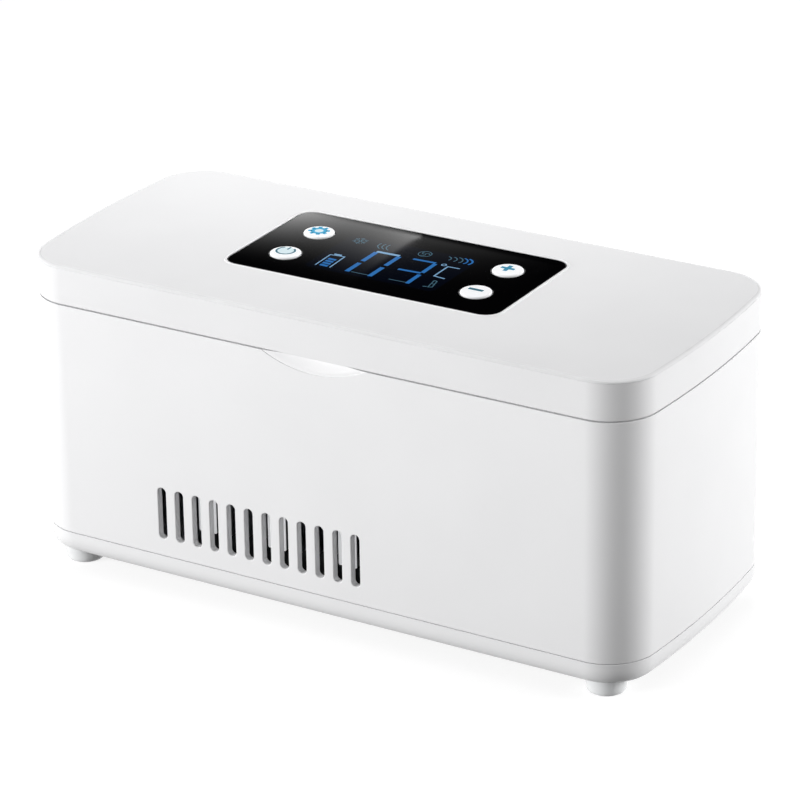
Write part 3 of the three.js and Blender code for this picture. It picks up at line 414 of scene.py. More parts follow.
def block(x0: float, x1: float, y0: float, y1: float, z0: float, z1: float) -> Form:
    """A plain box between two corners."""
    return prism([(x0, y0), (x1, y0), (x1, y1), (x0, y1)], z0, z1)


def rod(x: float, y: float, z0: float, z1: float, radius: float, step: float = 7.5) -> Form:
    """An upright rod."""
    return prism(circle(x, y, radius, step), z0, z1)


def rod_along_x(x0: float, x1: float, y: float, z: float, radius: float) -> Form:
    """A rod that lies along X."""
    return prism_along_x(circle(y, z, radius), x0, x1)


def turned(profile: Sequence[Point2], x: float = 0, y: float = 0, sides: int = 64) -> Form:
    """A form turned about an upright axis.

    Args:
        profile: radius and height pairs. The first and the last lie on the axis.
        x: where the axis stands.
        y: where the axis stands.
        sides: how many steps go round.

    Returns:
        The closed form.
    """
    rings = profile[1:-1]
    points: list[Point3] = [(x, y, profile[0][1])]
    for radius, height in rings:
        turns = [2 * math.pi * i / sides for i in range(sides)]
        points += [(x + radius * math.cos(turn), y + radius * math.sin(turn), height) for turn in turns]
    points.append((x, y, profile[-1][1]))
    last = len(points) - 1
    faces: list[Sequence[int]] = []
    for i in range(sides):
        j = (i + 1) % sides
        faces.append((0, 1 + j, 1 + i))
        for level in range(len(rings) - 1):
            a = 1 + level * sides
            faces.append((a + i, a + j, a + sides + j, a + sides + i))
        top = 1 + (len(rings) - 1) * sides
        faces.append((top + i, top + j, last))
    return Form.made(points, faces)


# Repeats, laid out by Geometry Nodes


class Layout(Enum):
    """How copies of a shape are laid out."""

    ROW = "row"
    SPOTS = "spots"


@dataclass
class Repeat:
    """Copies of one shape, laid out by a node tree.

    Attributes:
        layout: along a row or at spots.
        count: how many there are in a row.
        start: where the first of a row stands.
        step: from one of a row to the next.
        turn: the range of the random turns at spots, in radians.
        seed: the seed of the random turns.
        spots: the places of the copies, where they don't follow a row.
    """

    layout: Layout
    count: int = 1
    start: Point3 = (0, 0, 0)
    step: Point3 = (0, 0, 0)
    turn: float = 0.0
    seed: int = 7
    spots: list[Point3] = field(default_factory=lambda: [(0.0, 0.0, 0.0)])

    def tree(self) -> Tree:
        """Builds the node tree of this layout.

        Returns:
            The tree, whose inputs are the layout's sizes.
        """
        tree = bpy.data.node_groups.new(f"{self.layout.value}_layout", "GeometryNodeTree")
        sockets = {
            "Spots": "NodeSocketGeometry", "Shape": "NodeSocketObject", "Finish": "NodeSocketMaterial",
            "Count": "NodeSocketInt", "Start": "NodeSocketVector", "Step": "NodeSocketVector",
            "Turn": "NodeSocketFloat", "Seed": "NodeSocketInt",
        }
        for label, kind in sockets.items():
            tree.interface.new_socket(label, in_out="INPUT", socket_type=kind)
        tree.interface.new_socket("Result", in_out="OUTPUT", socket_type="NodeSocketGeometry")
        given = add_node(tree, "NodeGroupInput")
        shape = add_node(tree, "GeometryNodeObjectInfo", links={"Object": (given, "Shape")})
        links = {"Instance": (shape, "Geometry")}
        if self.layout is Layout.SPOTS:
            turn = add_node(tree, "FunctionNodeRandomValue", links={3: (given, "Turn"), "Seed": (given, "Seed")})
            euler = add_node(tree, "ShaderNodeCombineXYZ", links={"Z": (turn, 1)})
            rotation = add_node(tree, "FunctionNodeEulerToRotation", links={0: (euler, 0)})
            links |= {"Points": (given, "Spots"), "Rotation": (rotation, 0)}
        else:
            line = add_node(tree, "GeometryNodeMeshLine", links={
                "Count": (given, "Count"), "Start Location": (given, "Start"), "Offset": (given, "Step"),
            })
            links["Points"] = (line, "Mesh")
        copies = add_node(tree, "GeometryNodeInstanceOnPoints", links=links)
        real = add_node(tree, "GeometryNodeRealizeInstances", links={"Geometry": (copies, "Instances")})
        finished = add_node(tree, "GeometryNodeSetMaterial", links={
            "Geometry": (real, "Geometry"), "Material": (given, "Finish"),
        })
        add_node(tree, "NodeGroupOutput", links={"Result": (finished, "Geometry")})
        return tree

    def of(self, shape: Form) -> Form:
        """Lays out copies of a shape.

        Args:
            shape: the shape, about the origin.

        Returns:
            All copies as one form.
        """
        pattern = shown(shape.mesh, "shape")
        host = shown(bpy.data.meshes.new("spots"), "spots")
        host.data.from_pydata(self.spots, [], [])
        layout = host.modifiers.new("layout", "NODES")
        layout.node_group = self.tree()
        values = {
            "Shape": pattern, "Count": self.count, "Start": self.start, "Step": self.step,
            "Turn": self.turn, "Seed": self.seed,
        }
        for item in layout.node_group.interface.items_tree:
            if item.name in values:
                layout[item.identifier] = values[item.name]
        mesh = baked(host)
        mesh.materials.clear()
        bpy.data.objects.remove(host)
        bpy.data.objects.remove(pattern)
        return Form(mesh)


# Finishes


class Surface(Enum):
    """What the surface is worked or moulded to."""

    POLISHED = "polished"
    ERODED = "eroded"
    BRUSHED = "brushed"
    CELLULAR = "cellular"
    PRINTED = "printed"


@dataclass(frozen=True)
class Finish:
    """A material: what it is made of and how its surface was made.

    Attributes:
        name: the material's common name and its making.
        colour: sRGB hex colour.
        second: sRGB hex colour of its uneven places.
        roughness: of the plain surface.
        surface: how it was worked.
        grain: size of its grain, peel or cells in millimetres.
        depth: depth of that grain in millimetres.
        metallic: one for bare metal.
        ior: index of refraction; metal keeps the default.
        transmission: how much light goes through.
        coat: weight of a clear layer over it.
        glow: light that it gives off: the display's own light, and painted light on the keys and the fin edges.
        grained_above: height in millimetres under which the surface is polished.
    """

    name: str
    colour: str
    second: str
    roughness: float
    surface: Surface = Surface.POLISHED
    grain: float = 0.6
    depth: float = 0.01
    metallic: float = 0.0
    ior: float = 1.5
    transmission: float = 0.0
    coat: float = 0.0
    glow: float = 0.0
    grained_above: float | None = None

    def material(self) -> bpy.types.Material:
        """The finish as a material, made once.

        Returns:
            The material.
        """
        if self.name in bpy.data.materials:
            return bpy.data.materials[self.name]
        material = bpy.data.materials.new(self.name)
        tree = blank_tree(material)
        place = add_node(tree, "ShaderNodeTexCoord")
        stretch = (1.0, BRUSH_DRAW if self.surface is Surface.BRUSHED else 1.0, 1.0)
        mapped = add_node(tree, "ShaderNodeMapping", {"Scale": stretch}, {"Vector": (place, "Object")})
        fine = self._fine(tree, mapped)
        broad = add_node(tree, "ShaderNodeTexNoise", {"Scale": PATCHES, "Detail": 2.0}, {"Vector": (place, "Object")})
        uneven = add_node(tree, "ShaderNodeMapRange", {"From Min": 0.35, "From Max": 0.65}, {"Value": (broad, 0)})
        colour = add_node(tree, "ShaderNodeMix", {
            "data_type": "RGBA", 6: linear(self.colour), 7: linear(self.second),
        }, {0: (uneven, 0)})
        rough = add_node(tree, "ShaderNodeMapRange", {
            "To Min": self.roughness * (1 - ROUGH_SPREAD), "To Max": min(1.0, self.roughness * (1 + ROUGH_SPREAD)),
        }, {"Value": (fine, 0)})
        height = (fine, 0)
        if self.grained_above is not None:
            height, rough = self._masked(tree, place, fine, rough)
        bump = add_node(tree, "ShaderNodeBump", {"Strength": 1.0, "Distance": self.depth * MM}, {"Height": height})
        settings = {
            "Metallic": self.metallic, "Transmission Weight": self.transmission, "Coat Weight": self.coat,
        }
        if not self.metallic:
            settings["IOR"] = self.ior
        links = {"Base Color": (colour, 2), "Roughness": (rough, 0), "Normal": (bump, 0)}
        if self.glow:
            settings["Emission Strength"] = self.glow
            links["Emission Color"] = (colour, 2)
        shader = add_node(tree, "ShaderNodeBsdfPrincipled", settings, links)
        add_node(tree, "ShaderNodeOutputMaterial", links={"Surface": (shader, 0)})
        return material

    def _fine(self, tree: Tree, mapped: bpy.types.Node) -> bpy.types.Node:
        """The fine grain, a value from 0 to 1 whose scale follows the grain's size.

        Args:
            tree: the material's tree.
            mapped: the node that gives the place.

        Returns:
            The texture's node.
        """
        per_metre = 1 / (self.grain * MM)
        if self.surface is Surface.CELLULAR:
            return add_node(tree, "ShaderNodeTexVoronoi", {"Scale": per_metre}, {"Vector": (mapped, 0)})
        detail = 0.0 if self.surface is Surface.POLISHED else 3.0
        return add_node(tree, "ShaderNodeTexNoise", {"Scale": per_metre, "Detail": detail}, {"Vector": (mapped, 0)})

    def _masked(
        self, tree: Tree, place: bpy.types.Node, fine: bpy.types.Node, rough: bpy.types.Node,
    ) -> tuple[tuple[bpy.types.Node, int], bpy.types.Node]:
        """Grain and roughness kept to what lies above a height, over polished sides.

        Args:
            tree: the material's tree.
            place: the coordinates' node.
            fine: the grain's node.
            rough: the roughness's node.

        Returns:
            The grain's node and output, and the roughness's node.
        """
        split = add_node(tree, "ShaderNodeSeparateXYZ", links={0: (place, "Object")})
        above = add_node(tree, "ShaderNodeMath", {
            "operation": "GREATER_THAN", 1: self.grained_above * MM,
        }, {0: (split, "Z")})
        height = add_node(tree, "ShaderNodeMath", {"operation": "MULTIPLY"}, {0: (fine, 0), 1: (above, 0)})
        mixed = add_node(tree, "ShaderNodeMix", {2: POLISHED_SIDE}, {0: (above, 0), 3: (rough, 0)})
        return (height, 0), mixed


# Glossy moulded ABS: near white, with the faint peel that a polished tool leaves in a long wall.
GLOSS_SHELL = Finish("gloss_moulded_abs", "#F3F3F4", "#F1F1F2", 0.16, grain=2.4, depth=0.004, ior=1.53)
# The lid's top is spark-eroded to a fine satin grain of about 0.3 mm, and its sides are polished.
SATIN_LID = Finish(
    "satin_eroded_abs", "#EFEFF0", "#EDEDEE", 0.42, Surface.ERODED, grain=0.35, depth=0.012, ior=1.53,
    grained_above=97.17,
)
# Inner mouldings of the same plastic, left with the tool's fine matt grain.
SATIN_LINER = Finish("matt_moulded_abs", "#E9E9EA", "#E5E5E7", 0.5, Surface.ERODED, grain=0.4, depth=0.02, ior=1.53)
# Soft clear polymer feet: milky, with light inside.
CLEAR_FOOT = Finish(
    "clear_soft_polymer", "#FAFBFC", "#F6F8F9", 0.12, grain=1.5, depth=0.01, transmission=0.12, coat=0.6,
)
# Deep-drawn aluminium tray, bead-blasted and anodised: even grey with a fine sparkle.
DRAWN_ALUMINIUM = Finish(
    "drawn_anodised_aluminium", "#C9CCCF", "#C2C5C9", 0.38, Surface.ERODED, grain=0.25, depth=0.01, metallic=1.0,
)
# Extruded aluminium: draw lines about 0.3 mm apart run along the fins.
EXTRUDED_ALUMINIUM = Finish(
    "extruded_aluminium", "#D3D5D8", "#C8CACD", 0.3, Surface.BRUSHED, grain=0.3, depth=0.008, metallic=1.0,
)
# Fin ends in a pale colour with a glow of their own: painted light that stands in for the light falling through the
# slots onto them.
FIN_EDGE_PAINTED_LIGHT = Finish("sawn_aluminium_edge", "#F2F3F4", "#E9EAEC", 0.5, Surface.ERODED, grain=0.2, depth=0.006, glow=0.42)
# Closed-cell foam: dark, with cells of about 0.5 mm that swallow the light.
BLACK_FOAM = Finish("closed_cell_foam", "#26272A", "#1E1F21", 0.95, Surface.CELLULAR, grain=0.5, depth=0.12, ior=1.45)
# Fired alumina plates: chalky white.
CERAMIC = Finish("fired_alumina", "#EDEBE4", "#E4E2DA", 0.6, Surface.ERODED, grain=0.3, depth=0.01, ior=1.76)
# Zinc-plated steel: bright grey, a little uneven.
PLATED_STEEL = Finish(
    "zinc_plated_steel", "#B4B8BD", "#9EA3A9", 0.28, Surface.ERODED, grain=0.2, depth=0.006, metallic=1.0,
)
# Fine matt nylon of the fan.
FAN_NYLON = Finish("matt_black_nylon", "#1B1C1E", "#16171A", 0.5, Surface.ERODED, grain=0.3, depth=0.015)
# Shrunk PVC sleeve of the cells: blue, glossy, faintly wrinkled.
SHRINK_SLEEVE = Finish("shrunk_pvc_sleeve", "#2C69AB", "#285F9C", 0.3, grain=3.0, depth=0.03)
# Solder mask over glass cloth, whose weave of about 0.6 mm shows through.
SOLDER_MASK = Finish("solder_mask_laminate", "#1B5A33", "#164C2B", 0.38, Surface.ERODED, grain=0.6, depth=0.012)
# Moulded epoxy and phenolic of components and the socket.
MOULDED_EPOXY = Finish("matt_moulded_epoxy", "#242628", "#1D1F21", 0.5, Surface.ERODED, grain=0.25, depth=0.01)
# Moulded silicone: grey and dull.
SILICONE = Finish("moulded_silicone", "#97999C", "#8E9093", 0.62, Surface.ERODED, grain=0.5, depth=0.01, ior=1.41)
# Cast acrylic sheet printed black behind: a mirror-smooth face.
BLACK_ACRYLIC = Finish("back_printed_acrylic", "#040405", "#030304", 0.03, grain=8.0, depth=0.0004, ior=1.49)
# Keys in white ABS with a satin gloss, with a glow of their own: painted light that lifts them whiter than the lamps
# make them.
KEY_WHITE_PAINTED_GLOW = Finish(
    "satin_white_key_abs", "#F7F8F9", "#F4F5F7", 0.3, Surface.ERODED, grain=0.3, depth=0.004, ior=1.53, glow=0.14,
)


def ink(tone: str, colour: str, second: str) -> Finish:
    """A pad-printed ink on the keys: a flat colour with a soft sheen."""
    return Finish(f"pad_printed_{tone}_ink", colour, second, 0.35, Surface.PRINTED, grain=0.3, depth=0.002)


def segment_print(state: str, colour: str, second: str, glow: float) -> Finish:
    """A segment of the display, under the same gloss as the panel."""
    name, ior = f"{state}_display_segment", 1.49
    return Finish(name, colour, second, 0.05, Surface.PRINTED, grain=0.8, depth=0.0003, ior=ior, glow=glow)


INK_BLUE = ink("light_blue", "#3BADD9", "#36A6D1")
INK_TEAL = ink("teal", "#16687C", "#146275")
INK_SEA = ink("sea_blue", "#1C8DB0", "#1A86A8")
INK_PALE = ink("pale_blue", "#E0F2F8", "#DCF0F6")
LIT_SEGMENT = segment_print("lit", "#2A6AAB", "#2664A3", 0.25)
PALE_SEGMENT = segment_print("pale", "#7BA3C6", "#769EC1", 0.2)
DIM_SEGMENT = segment_print("dim", "#446678", "#3F6070", 0.15)
# The display's glass under the sheet, a shade bluer than the black print round it.
DARK_WINDOW = Finish("dark_display_glass", "#040814", "#040711", 0.03, grain=8.0, depth=0.0004, ior=1.49)
# The recess has a polished bead round it, which catches the light beside the satin top; its colour is painted whiter
# than the lid's plastic, a painted highlight.
POLISHED_BEAD_PAINTED_HIGHLIGHT = Finish("polished_moulded_abs", "#FBFBFC", "#F9F9FA", 0.14, grain=2.4, depth=0.002, ior=1.53)


def dress(
    piece: bpy.types.Object, body: str, finish: Finish, stands_for: Sequence[str] = (),
) -> bpy.types.Object:
    """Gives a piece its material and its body.

    Args:
        piece: the finished mesh.
        body: the CAD body that it moves with.
        finish: its material.
        stands_for: the CAD nodes that it replaces.

    Returns:
        The piece.
    """
    piece.data.materials.clear()
    piece.data.materials.append(finish.material())
    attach(piece, body)
    if stands_for:
        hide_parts(*stands_for)
    LOG.info("%s: %d faces, rides on %s", piece.name, len(piece.data.polygons), body)
    return piece


# Sub-assemblies


@dataclass(frozen=True)
class CaseSizes:
    """Sizes in millimetres that the mouldings share."""

    length: float = 205.0
    width: float = 90.0
    height: float = 97.2
    corner: float = 15.0
    end_radius: float = 340.0
    bottom_z: float = 5.0
    plate_top_z: float = 7.55
    base_top_z: float = 11.75
    split_z: float = 12.0
    seam_round: float = 0.08
    rim_z: float = 85.0
    lid_z: float = 85.4
    bottom_rise: float = 5.0
    bottom_inset: float = 2.9
    rim_round: float = 0.25
    body_wall: float = 2.2
    lid_wall: float = 2.0
    seat_gap: float = 0.3
    hinge_x: float = 55.0
    hinge_y: float = 42.1
    hinge_z: float = 85.2
    barrel_radius: float = 2.4
    pocket_radius: float = 2.8
    bore_radius: float = 1.3
    ear_length: float = 6.0
    knuckle_length: float = 12.0
    groove_angle: float = 48.5
    groove_reach: float = 13.0
    web_height: float = 1.2
    rail_y: float = 38.0
    rail_height: float = 5.0
    chamber_length: float = 172.0
    chamber_width: float = 52.0
    chamber_corner: float = 8.0
    foot_x: float = 88.5
    foot_y: float = 35.5
    boss_base_z: float = 9.55
    boss_bore: float = 1.7
    liner_screw: Point2 = (76.0, 28.2)
    back_ledge: Span = (79.7, 90.7)
    stack_x: float = -20.4

    @property
    def hinge_half(self) -> float:
        """How far each hinge reaches from its middle."""
        return self.knuckle_length / 2 + self.seat_gap + self.ear_length

    def outline(self, inset: float = 0.0) -> Outline:
        """The case's outline, with its slightly crowned ends, drawn in by an inset.

        Args:
            inset: how far it is drawn in.

        Returns:
            The outline, anticlockwise.
        """
        corner_y = self.width / 2 - self.corner
        end_x = self.length / 2 - self.end_radius
        spread = math.asin(corner_y / (self.end_radius - self.corner))
        corner_x = end_x + (self.end_radius - self.corner) * math.cos(spread)
        radius, turn = self.corner - inset, math.degrees(spread)
        half = [
            *arc(corner_x, -corner_y, radius, -90, -turn),
            *arc(end_x, 0, self.end_radius - inset, -turn, turn, turn / 10)[1:-1],
            *arc(corner_x, corner_y, radius, turn, 90),
        ]
        return half + [(-x, -y) for x, y in half]

    def chamber(self, margin: float = 0.0) -> Outline:
        """The chamber's outline, grown by a margin."""
        radius = self.chamber_corner + margin
        return rounded(self.chamber_length + 2 * margin, self.chamber_width + 2 * margin, radius)

    def bottom_edge(self, z0: float, z1: float, steps: int) -> list[Level]:
        """Levels of the rounded bottom edge between two heights.

        Args:
            z0: the lower height.
            z1: the upper height.
            steps: how many steps round it.

        Returns:
            Heights with their outlines.
        """
        a0, a1 = (math.acos(max(0.0, 1 - (z - self.bottom_z) / self.bottom_rise)) for z in (z0, z1))
        turns = [a0 + (a1 - a0) * i / steps for i in range(steps + 1)]
        return [
            (self.bottom_z + self.bottom_rise * (1 - math.cos(a)), self.outline(self.bottom_inset * (1 - math.sin(a))))
            for a in turns
        ]

    def rim(self, z: float, side: int) -> list[Level]:
        """Levels of the small rounding at a rim, in the order of rising height.

        Args:
            z: the rim's height.
            side: 1 for an upper rim and -1 for a lower one.

        Returns:
            Heights with their outlines.
        """
        r = self.rim_round
        levels = [(z - side * r * (1 - math.sin(a)), self.outline(r * (1 - math.cos(a)))) for a in (0.0, 0.8, 1.57)]
        return levels if side > 0 else levels[::-1]

    def ring(self, outer: float, inner: float, z0: float, z1: float) -> Form:
        """A wall between two insets of the case's outline."""
        out, inside = self.outline(outer), self.outline(inner)
        return hoop([(z0, out), (z1, out), (z1, inside), (z0, inside)])

    def rail(self, z0: float, z1: float) -> Form:
        """The thick rail along the back, which the hinge groove is cut in."""
        span = self.length
        return prism(self.outline(1.0), z0, z1) & block(-span, span, self.rail_y, span, z0 - 1, z1 + 1)

    def back_strip(self) -> Form:
        """What the rail takes from the mouldings inside the case, with a gap before it."""
        far = self.length + 5.0
        return block(-far, far, self.rail_y - self.seat_gap, self.width, *self.back_ledge)

    def groove(self, side: int) -> Form:
        """The wedge behind the hinge axis, above it or below it.

        Args:
            side: 1 above the axis and -1 below it.

        Returns:
            The cutter.
        """
        rise = side * self.groove_reach * math.tan(math.radians(self.groove_angle))
        y, z, far = self.hinge_y, self.hinge_z, self.hinge_y + self.groove_reach
        span = self.length / 2 + REACH
        return prism_along_x([(y, z), (far, z), (far, z + rise)], -span, span)

    def at_hinges(self, make: Callable[[float], Form]) -> Form:
        """One form made at both hinges, given the hinge's X."""
        return Form.gathered([make(-self.hinge_x), make(self.hinge_x)])

    def pockets(self) -> Form:
        """Room round the barrels."""
        half = self.hinge_half + self.seat_gap
        return self.at_hinges(lambda x: rod_along_x(x - half, x + half, self.hinge_y, self.hinge_z, self.pocket_radius))

    def bores(self) -> Form:
        """The holes that the pins turn in."""
        half = self.hinge_half + self.seat_gap / 2
        return self.at_hinges(lambda x: rod_along_x(x - half, x + half, self.hinge_y, self.hinge_z, self.bore_radius))

    def knuckle(self, x0: float, x1: float, side: int) -> Form:
        """A hinge barrel with the web that joins it to its moulding.

        Args:
            x0: where it starts.
            x1: where it ends.
            side: 1 where the web rises to the lid, -1 where it goes down to the body.

        Returns:
            The barrel and its web.
        """
        r = self.barrel_radius
        near = self.hinge_z + side * r / 2
        far = self.hinge_z + side * (r + self.web_height)
        web = block(x0, x1, self.hinge_y - r, self.hinge_y + r / 4, min(near, far), max(near, far))
        return rod_along_x(x0, x1, self.hinge_y, self.hinge_z, r) + web

    def at_corners(
        self, dx: float, dy: float, make: Callable[[float, float], Form], x: float = 0, y: float = 0,
    ) -> Form:
        """One form made at four corners about a middle, given X and Y."""
        return Form.gathered([make(x + sx * dx, y + sy * dy) for sx in (-1, 1) for sy in (-1, 1)])


@dataclass
class Body:
    """The body shell, its base cover and the four feet."""

    sizes: CaseSizes
    slot_count: int = 12
    slot_pitch: float = 6.0
    slot_width: float = 2.8
    slot_height: float = 16.4
    slot_z: float = 17.4
    slot_flare: float = 0.25
    slot_reach: float = 6.0
    scoop_width: float = 34.4
    scoop_drop: float = 4.3
    scoop_ball: float = 106.0
    scoop_step: float = 0.25
    scoop_rim: Span = (0.03, 0.01)
    scoop_rings: int = 60
    scoop_sides: int = 220
    boss_radius: float = 4.0
    boss_z: Span = (9.85, 27.35)
    bore_top_z: float = 24.35
    web_half: float = 0.8
    side_web_z: Span = (14.85, 26.15)
    front_web_z: Span = (15.65, 25.35)
    ledge_z: Span = (78.7, 80.7)
    ledge_reach: float = 2.0
    jack_x: float = 68.0
    jack_z: float = 35.05
    jack_hole: float = 4.0
    jack_flare: float = 0.4
    intake_pitch: float = 5.4
    intake_width: float = 3.0
    intake_radius: float = 27.0
    intake_flare: float = 0.25
    intake_z: Span = (3.0, 12.0)
    inner_inset: float = 4.5
    lip_inset: float = 4.0
    lip_step: float = 2.5
    lip_drop: float = 2.0
    lip_rise: float = 1.9
    seat_z: float = 7.2
    seat_radius: float = 4.4
    hole_z: Span = (3.0, 14.0)
    head_bore: float = 3.1
    fan_spot: float = 25.0
    fan_bore: float = 2.45
    fan_shank: float = 1.32
    fan_step: float = 0.23
    fan_cone_z: Span = (5.0, 5.25)
    fan_seat_z: float = 6.6
    foot_radius: float = 6.0
    foot_height: float = 5.0

    def vents(self, side: int) -> Form:
        """The row of slot cutters through the front (-1) or back (1) wall, flared at the outer face.

        Args:
            side: -1 for the front and 1 for the back.

        Returns:
            The cutters.
        """
        s = self.sizes
        face = side * s.width / 2
        flare = self.slot_flare

        def section(grow: float) -> Outline:
            """The slot's outline, grown by an amount."""
            width = self.slot_width + 2 * grow
            return rounded(width, self.slot_height + 2 * grow, width / 2 - HAIR, step=SLOT_STEP)

        bend = flare * 0.35
        levels = [(-s.body_wall - self.slot_reach, 0.0), (-flare, 0.0), (-bend, bend), (0.0, flare), (2.0, flare)]
        shape = loft([(z, section(grow)) for z, grow in levels])
        upright = Matrix.Rotation(math.pi / 2, 4, "X")
        if side > 0:
            upright = Matrix.Rotation(math.pi, 4, "Z") @ upright
        middle = self.slot_z + self.slot_height / 2
        first = s.stack_x - (self.slot_count - 1) / 2 * self.slot_pitch
        row = Repeat(Layout.ROW, self.slot_count, (first, face, middle), (self.slot_pitch, 0, 0))
        return row.of(shape.placed(upright))

    def scoop(self) -> Form:
        """The dish under the lid's front edge.

        Returns:
            The cutter, a turned dish with a small step at its rim.
        """
        s = self.sizes
        edge = (self.scoop_width ** 2 / 4 + self.scoop_drop ** 2) / (2 * self.scoop_drop)
        depth = math.sqrt(self.scoop_ball ** 2 - edge ** 2)
        outer = edge + self.scoop_drop
        radii = [outer * i / self.scoop_rings for i in range(self.scoop_rings + 1)]
        radii = sorted([*radii, edge - self.scoop_rim[0], edge + self.scoop_rim[1]], reverse=True)
        profile = [
            (r, max(math.sqrt(self.scoop_ball ** 2 - r * r) - depth, self.scoop_step if r < edge else -REACH))
            for r in radii
        ]
        dish = turned([(0.0, -REACH), (outer, -REACH), *profile], sides=self.scoop_sides)
        facing = Matrix.Translation((0, -s.width / 2, s.rim_z - self.scoop_drop + edge))
        return dish.placed(facing @ Matrix.Rotation(-math.pi / 2, 4, "X"))

    def bosses(self) -> Form:
        """The four screw bosses with their webs.

        Returns:
            The bosses, kept inside the walls.
        """
        s = self.sizes
        inside = prism(s.outline(s.body_wall / 2), self.boss_z[0], s.rim_z)
        half = self.web_half

        def boss(x: float, y: float) -> Form:
            """One boss.

            Args:
                x: its middle.
                y: its middle.

            Returns:
                The boss and its two webs.
            """
            wx, wy = math.copysign(s.length / 2, x), math.copysign(s.width / 2, y)
            side = block(min(x, wx), max(x, wx), y - half, y + half, *self.side_web_z)
            front = block(x - half, x + half, min(y, wy), max(y, wy), *self.front_web_z)
            return rod(x, y, *self.boss_z, self.boss_radius, POST_STEP) + side + front

        return s.at_corners(s.foot_x, s.foot_y, boss) & inside

    def shell(self) -> bpy.types.Object:
        """The moulded body shell.

        Returns:
            The piece.
        """
        s = self.sizes
        seam = s.seam_round
        form = loft([(s.split_z, s.outline(seam)), (s.split_z + seam, s.outline()), *s.rim(s.rim_z, 1)])
        walls = form - prism(s.outline(s.body_wall), -REACH, s.height)
        walls = walls + s.ring(s.body_wall / 2, s.body_wall + self.ledge_reach, *self.ledge_z)
        walls = walls + s.rail(s.rim_z - s.rail_height, s.rim_z - s.rim_round) + self.bosses()
        bore_z = (s.boss_base_z, self.bore_top_z)
        walls = walls - s.at_corners(s.foot_x, s.foot_y, lambda x, y: rod(x, y, *bore_z, s.boss_bore, PILOT_STEP))
        walls = walls - self.scoop() - self.vents(-1) - self.vents(1)
        r, flare = self.jack_hole, self.jack_flare
        hole = turned([(0, -8), (r, -8), (r, -flare), (r + flare, 0), (r + flare, 2), (0, 2)])
        outwards = Matrix.Translation((self.jack_x, s.width / 2, self.jack_z)) @ Matrix.Rotation(-math.pi / 2, 4, "X")
        walls = walls - hole.placed(outwards) - s.groove(-1) - s.pockets()
        half, ear = s.hinge_half, s.ear_length
        ears = Form.gathered([
            s.at_hinges(lambda x: s.knuckle(x - half, x - half + ear, -1)),
            s.at_hinges(lambda x: s.knuckle(x + half - ear, x + half, -1)),
        ])
        piece = ((walls + ears) - s.bores()).piece("body_moulding")
        return dress(piece, "case", GLOSS_SHELL, ["body_shell"])

    def intakes(self) -> Form:
        """The slot cutters of the intake grille.

        Returns:
            The cutters, which fill a circle under the fan.
        """
        s = self.sizes
        low, high = self.intake_z
        half = math.floor(self.intake_radius / self.intake_pitch)
        slots = []
        for i in range(-half, half + 1):
            x = i * self.intake_pitch
            length = 2 * math.sqrt(self.intake_radius ** 2 - x * x)
            if length > 2 * self.intake_width:
                wide, flare = self.intake_width, self.intake_flare
                slots.append(loft([
                    (z, rounded(wide + 2 * g, length + 2 * g, wide / 2 + g - HAIR, s.stack_x + x, 0, SLOT_STEP))
                    for z, g in ((low, flare), (s.bottom_z, flare), (s.bottom_z + flare, 0.0), (high, 0.0))
                ]))
        return Form.gathered(slots)

    def base(self) -> bpy.types.Object:
        """The shallow tray under the body, with its lip, bosses, posts and grille.

        Returns:
            The piece.
        """
        s, seam = self.sizes, self.sizes.seam_round
        inner = Form.carried("base_cover") & prism(s.outline(self.inner_inset), s.bottom_z - 1, 60.0)
        edge = s.bottom_edge(s.bottom_z, s.bottom_z + s.bottom_rise, 10)
        tray = loft([*edge, (s.base_top_z - seam, s.outline()), (s.base_top_z, s.outline(seam))])
        tray = tray - prism(s.outline(self.inner_inset - 0.03), 0.0, 20.0)
        tray = tray - s.ring(s.body_wall, self.inner_inset + 0.1, s.plate_top_z, 20.0)
        lip_z = s.base_top_z - self.lip_drop
        lip = s.ring(s.body_wall / 2, self.lip_inset, lip_z, s.base_top_z - 0.05)
        lip = lip + s.ring(self.lip_step, self.lip_inset, lip_z, s.base_top_z + self.lip_rise)
        bosses = s.at_corners(
            s.foot_x, s.foot_y, lambda x, y: rod(x, y, self.seat_z, s.boss_base_z, self.seat_radius),
        )
        form = (tray + lip) + inner + bosses
        start, end = self.hole_z
        wide, thin, seat = self.head_bore, s.boss_bore, self.seat_z + 0.1
        holes = s.at_corners(s.foot_x, s.foot_y, lambda x, y: turned([
            (0, start), (wide, start), (wide, seat), (thin, seat), (thin, end), (0, end),
        ], x, y, HOLE_SIDES))
        mouth, head, shank = self.fan_bore, self.fan_bore - self.fan_step, self.fan_shank
        (low, high), under = self.fan_cone_z, self.fan_seat_z
        heads = s.at_corners(self.fan_spot, self.fan_spot, lambda x, y: turned([
            (0, start), (mouth, start), (mouth, low), (head, high), (head, under), (shank, under), (shank, end),
            (0, end),
        ], x, y, HOLE_SIDES), s.stack_x)
        piece = (form - holes - heads - self.intakes()).piece("base_moulding")
        return dress(piece, "case", GLOSS_SHELL, ["base_cover"])

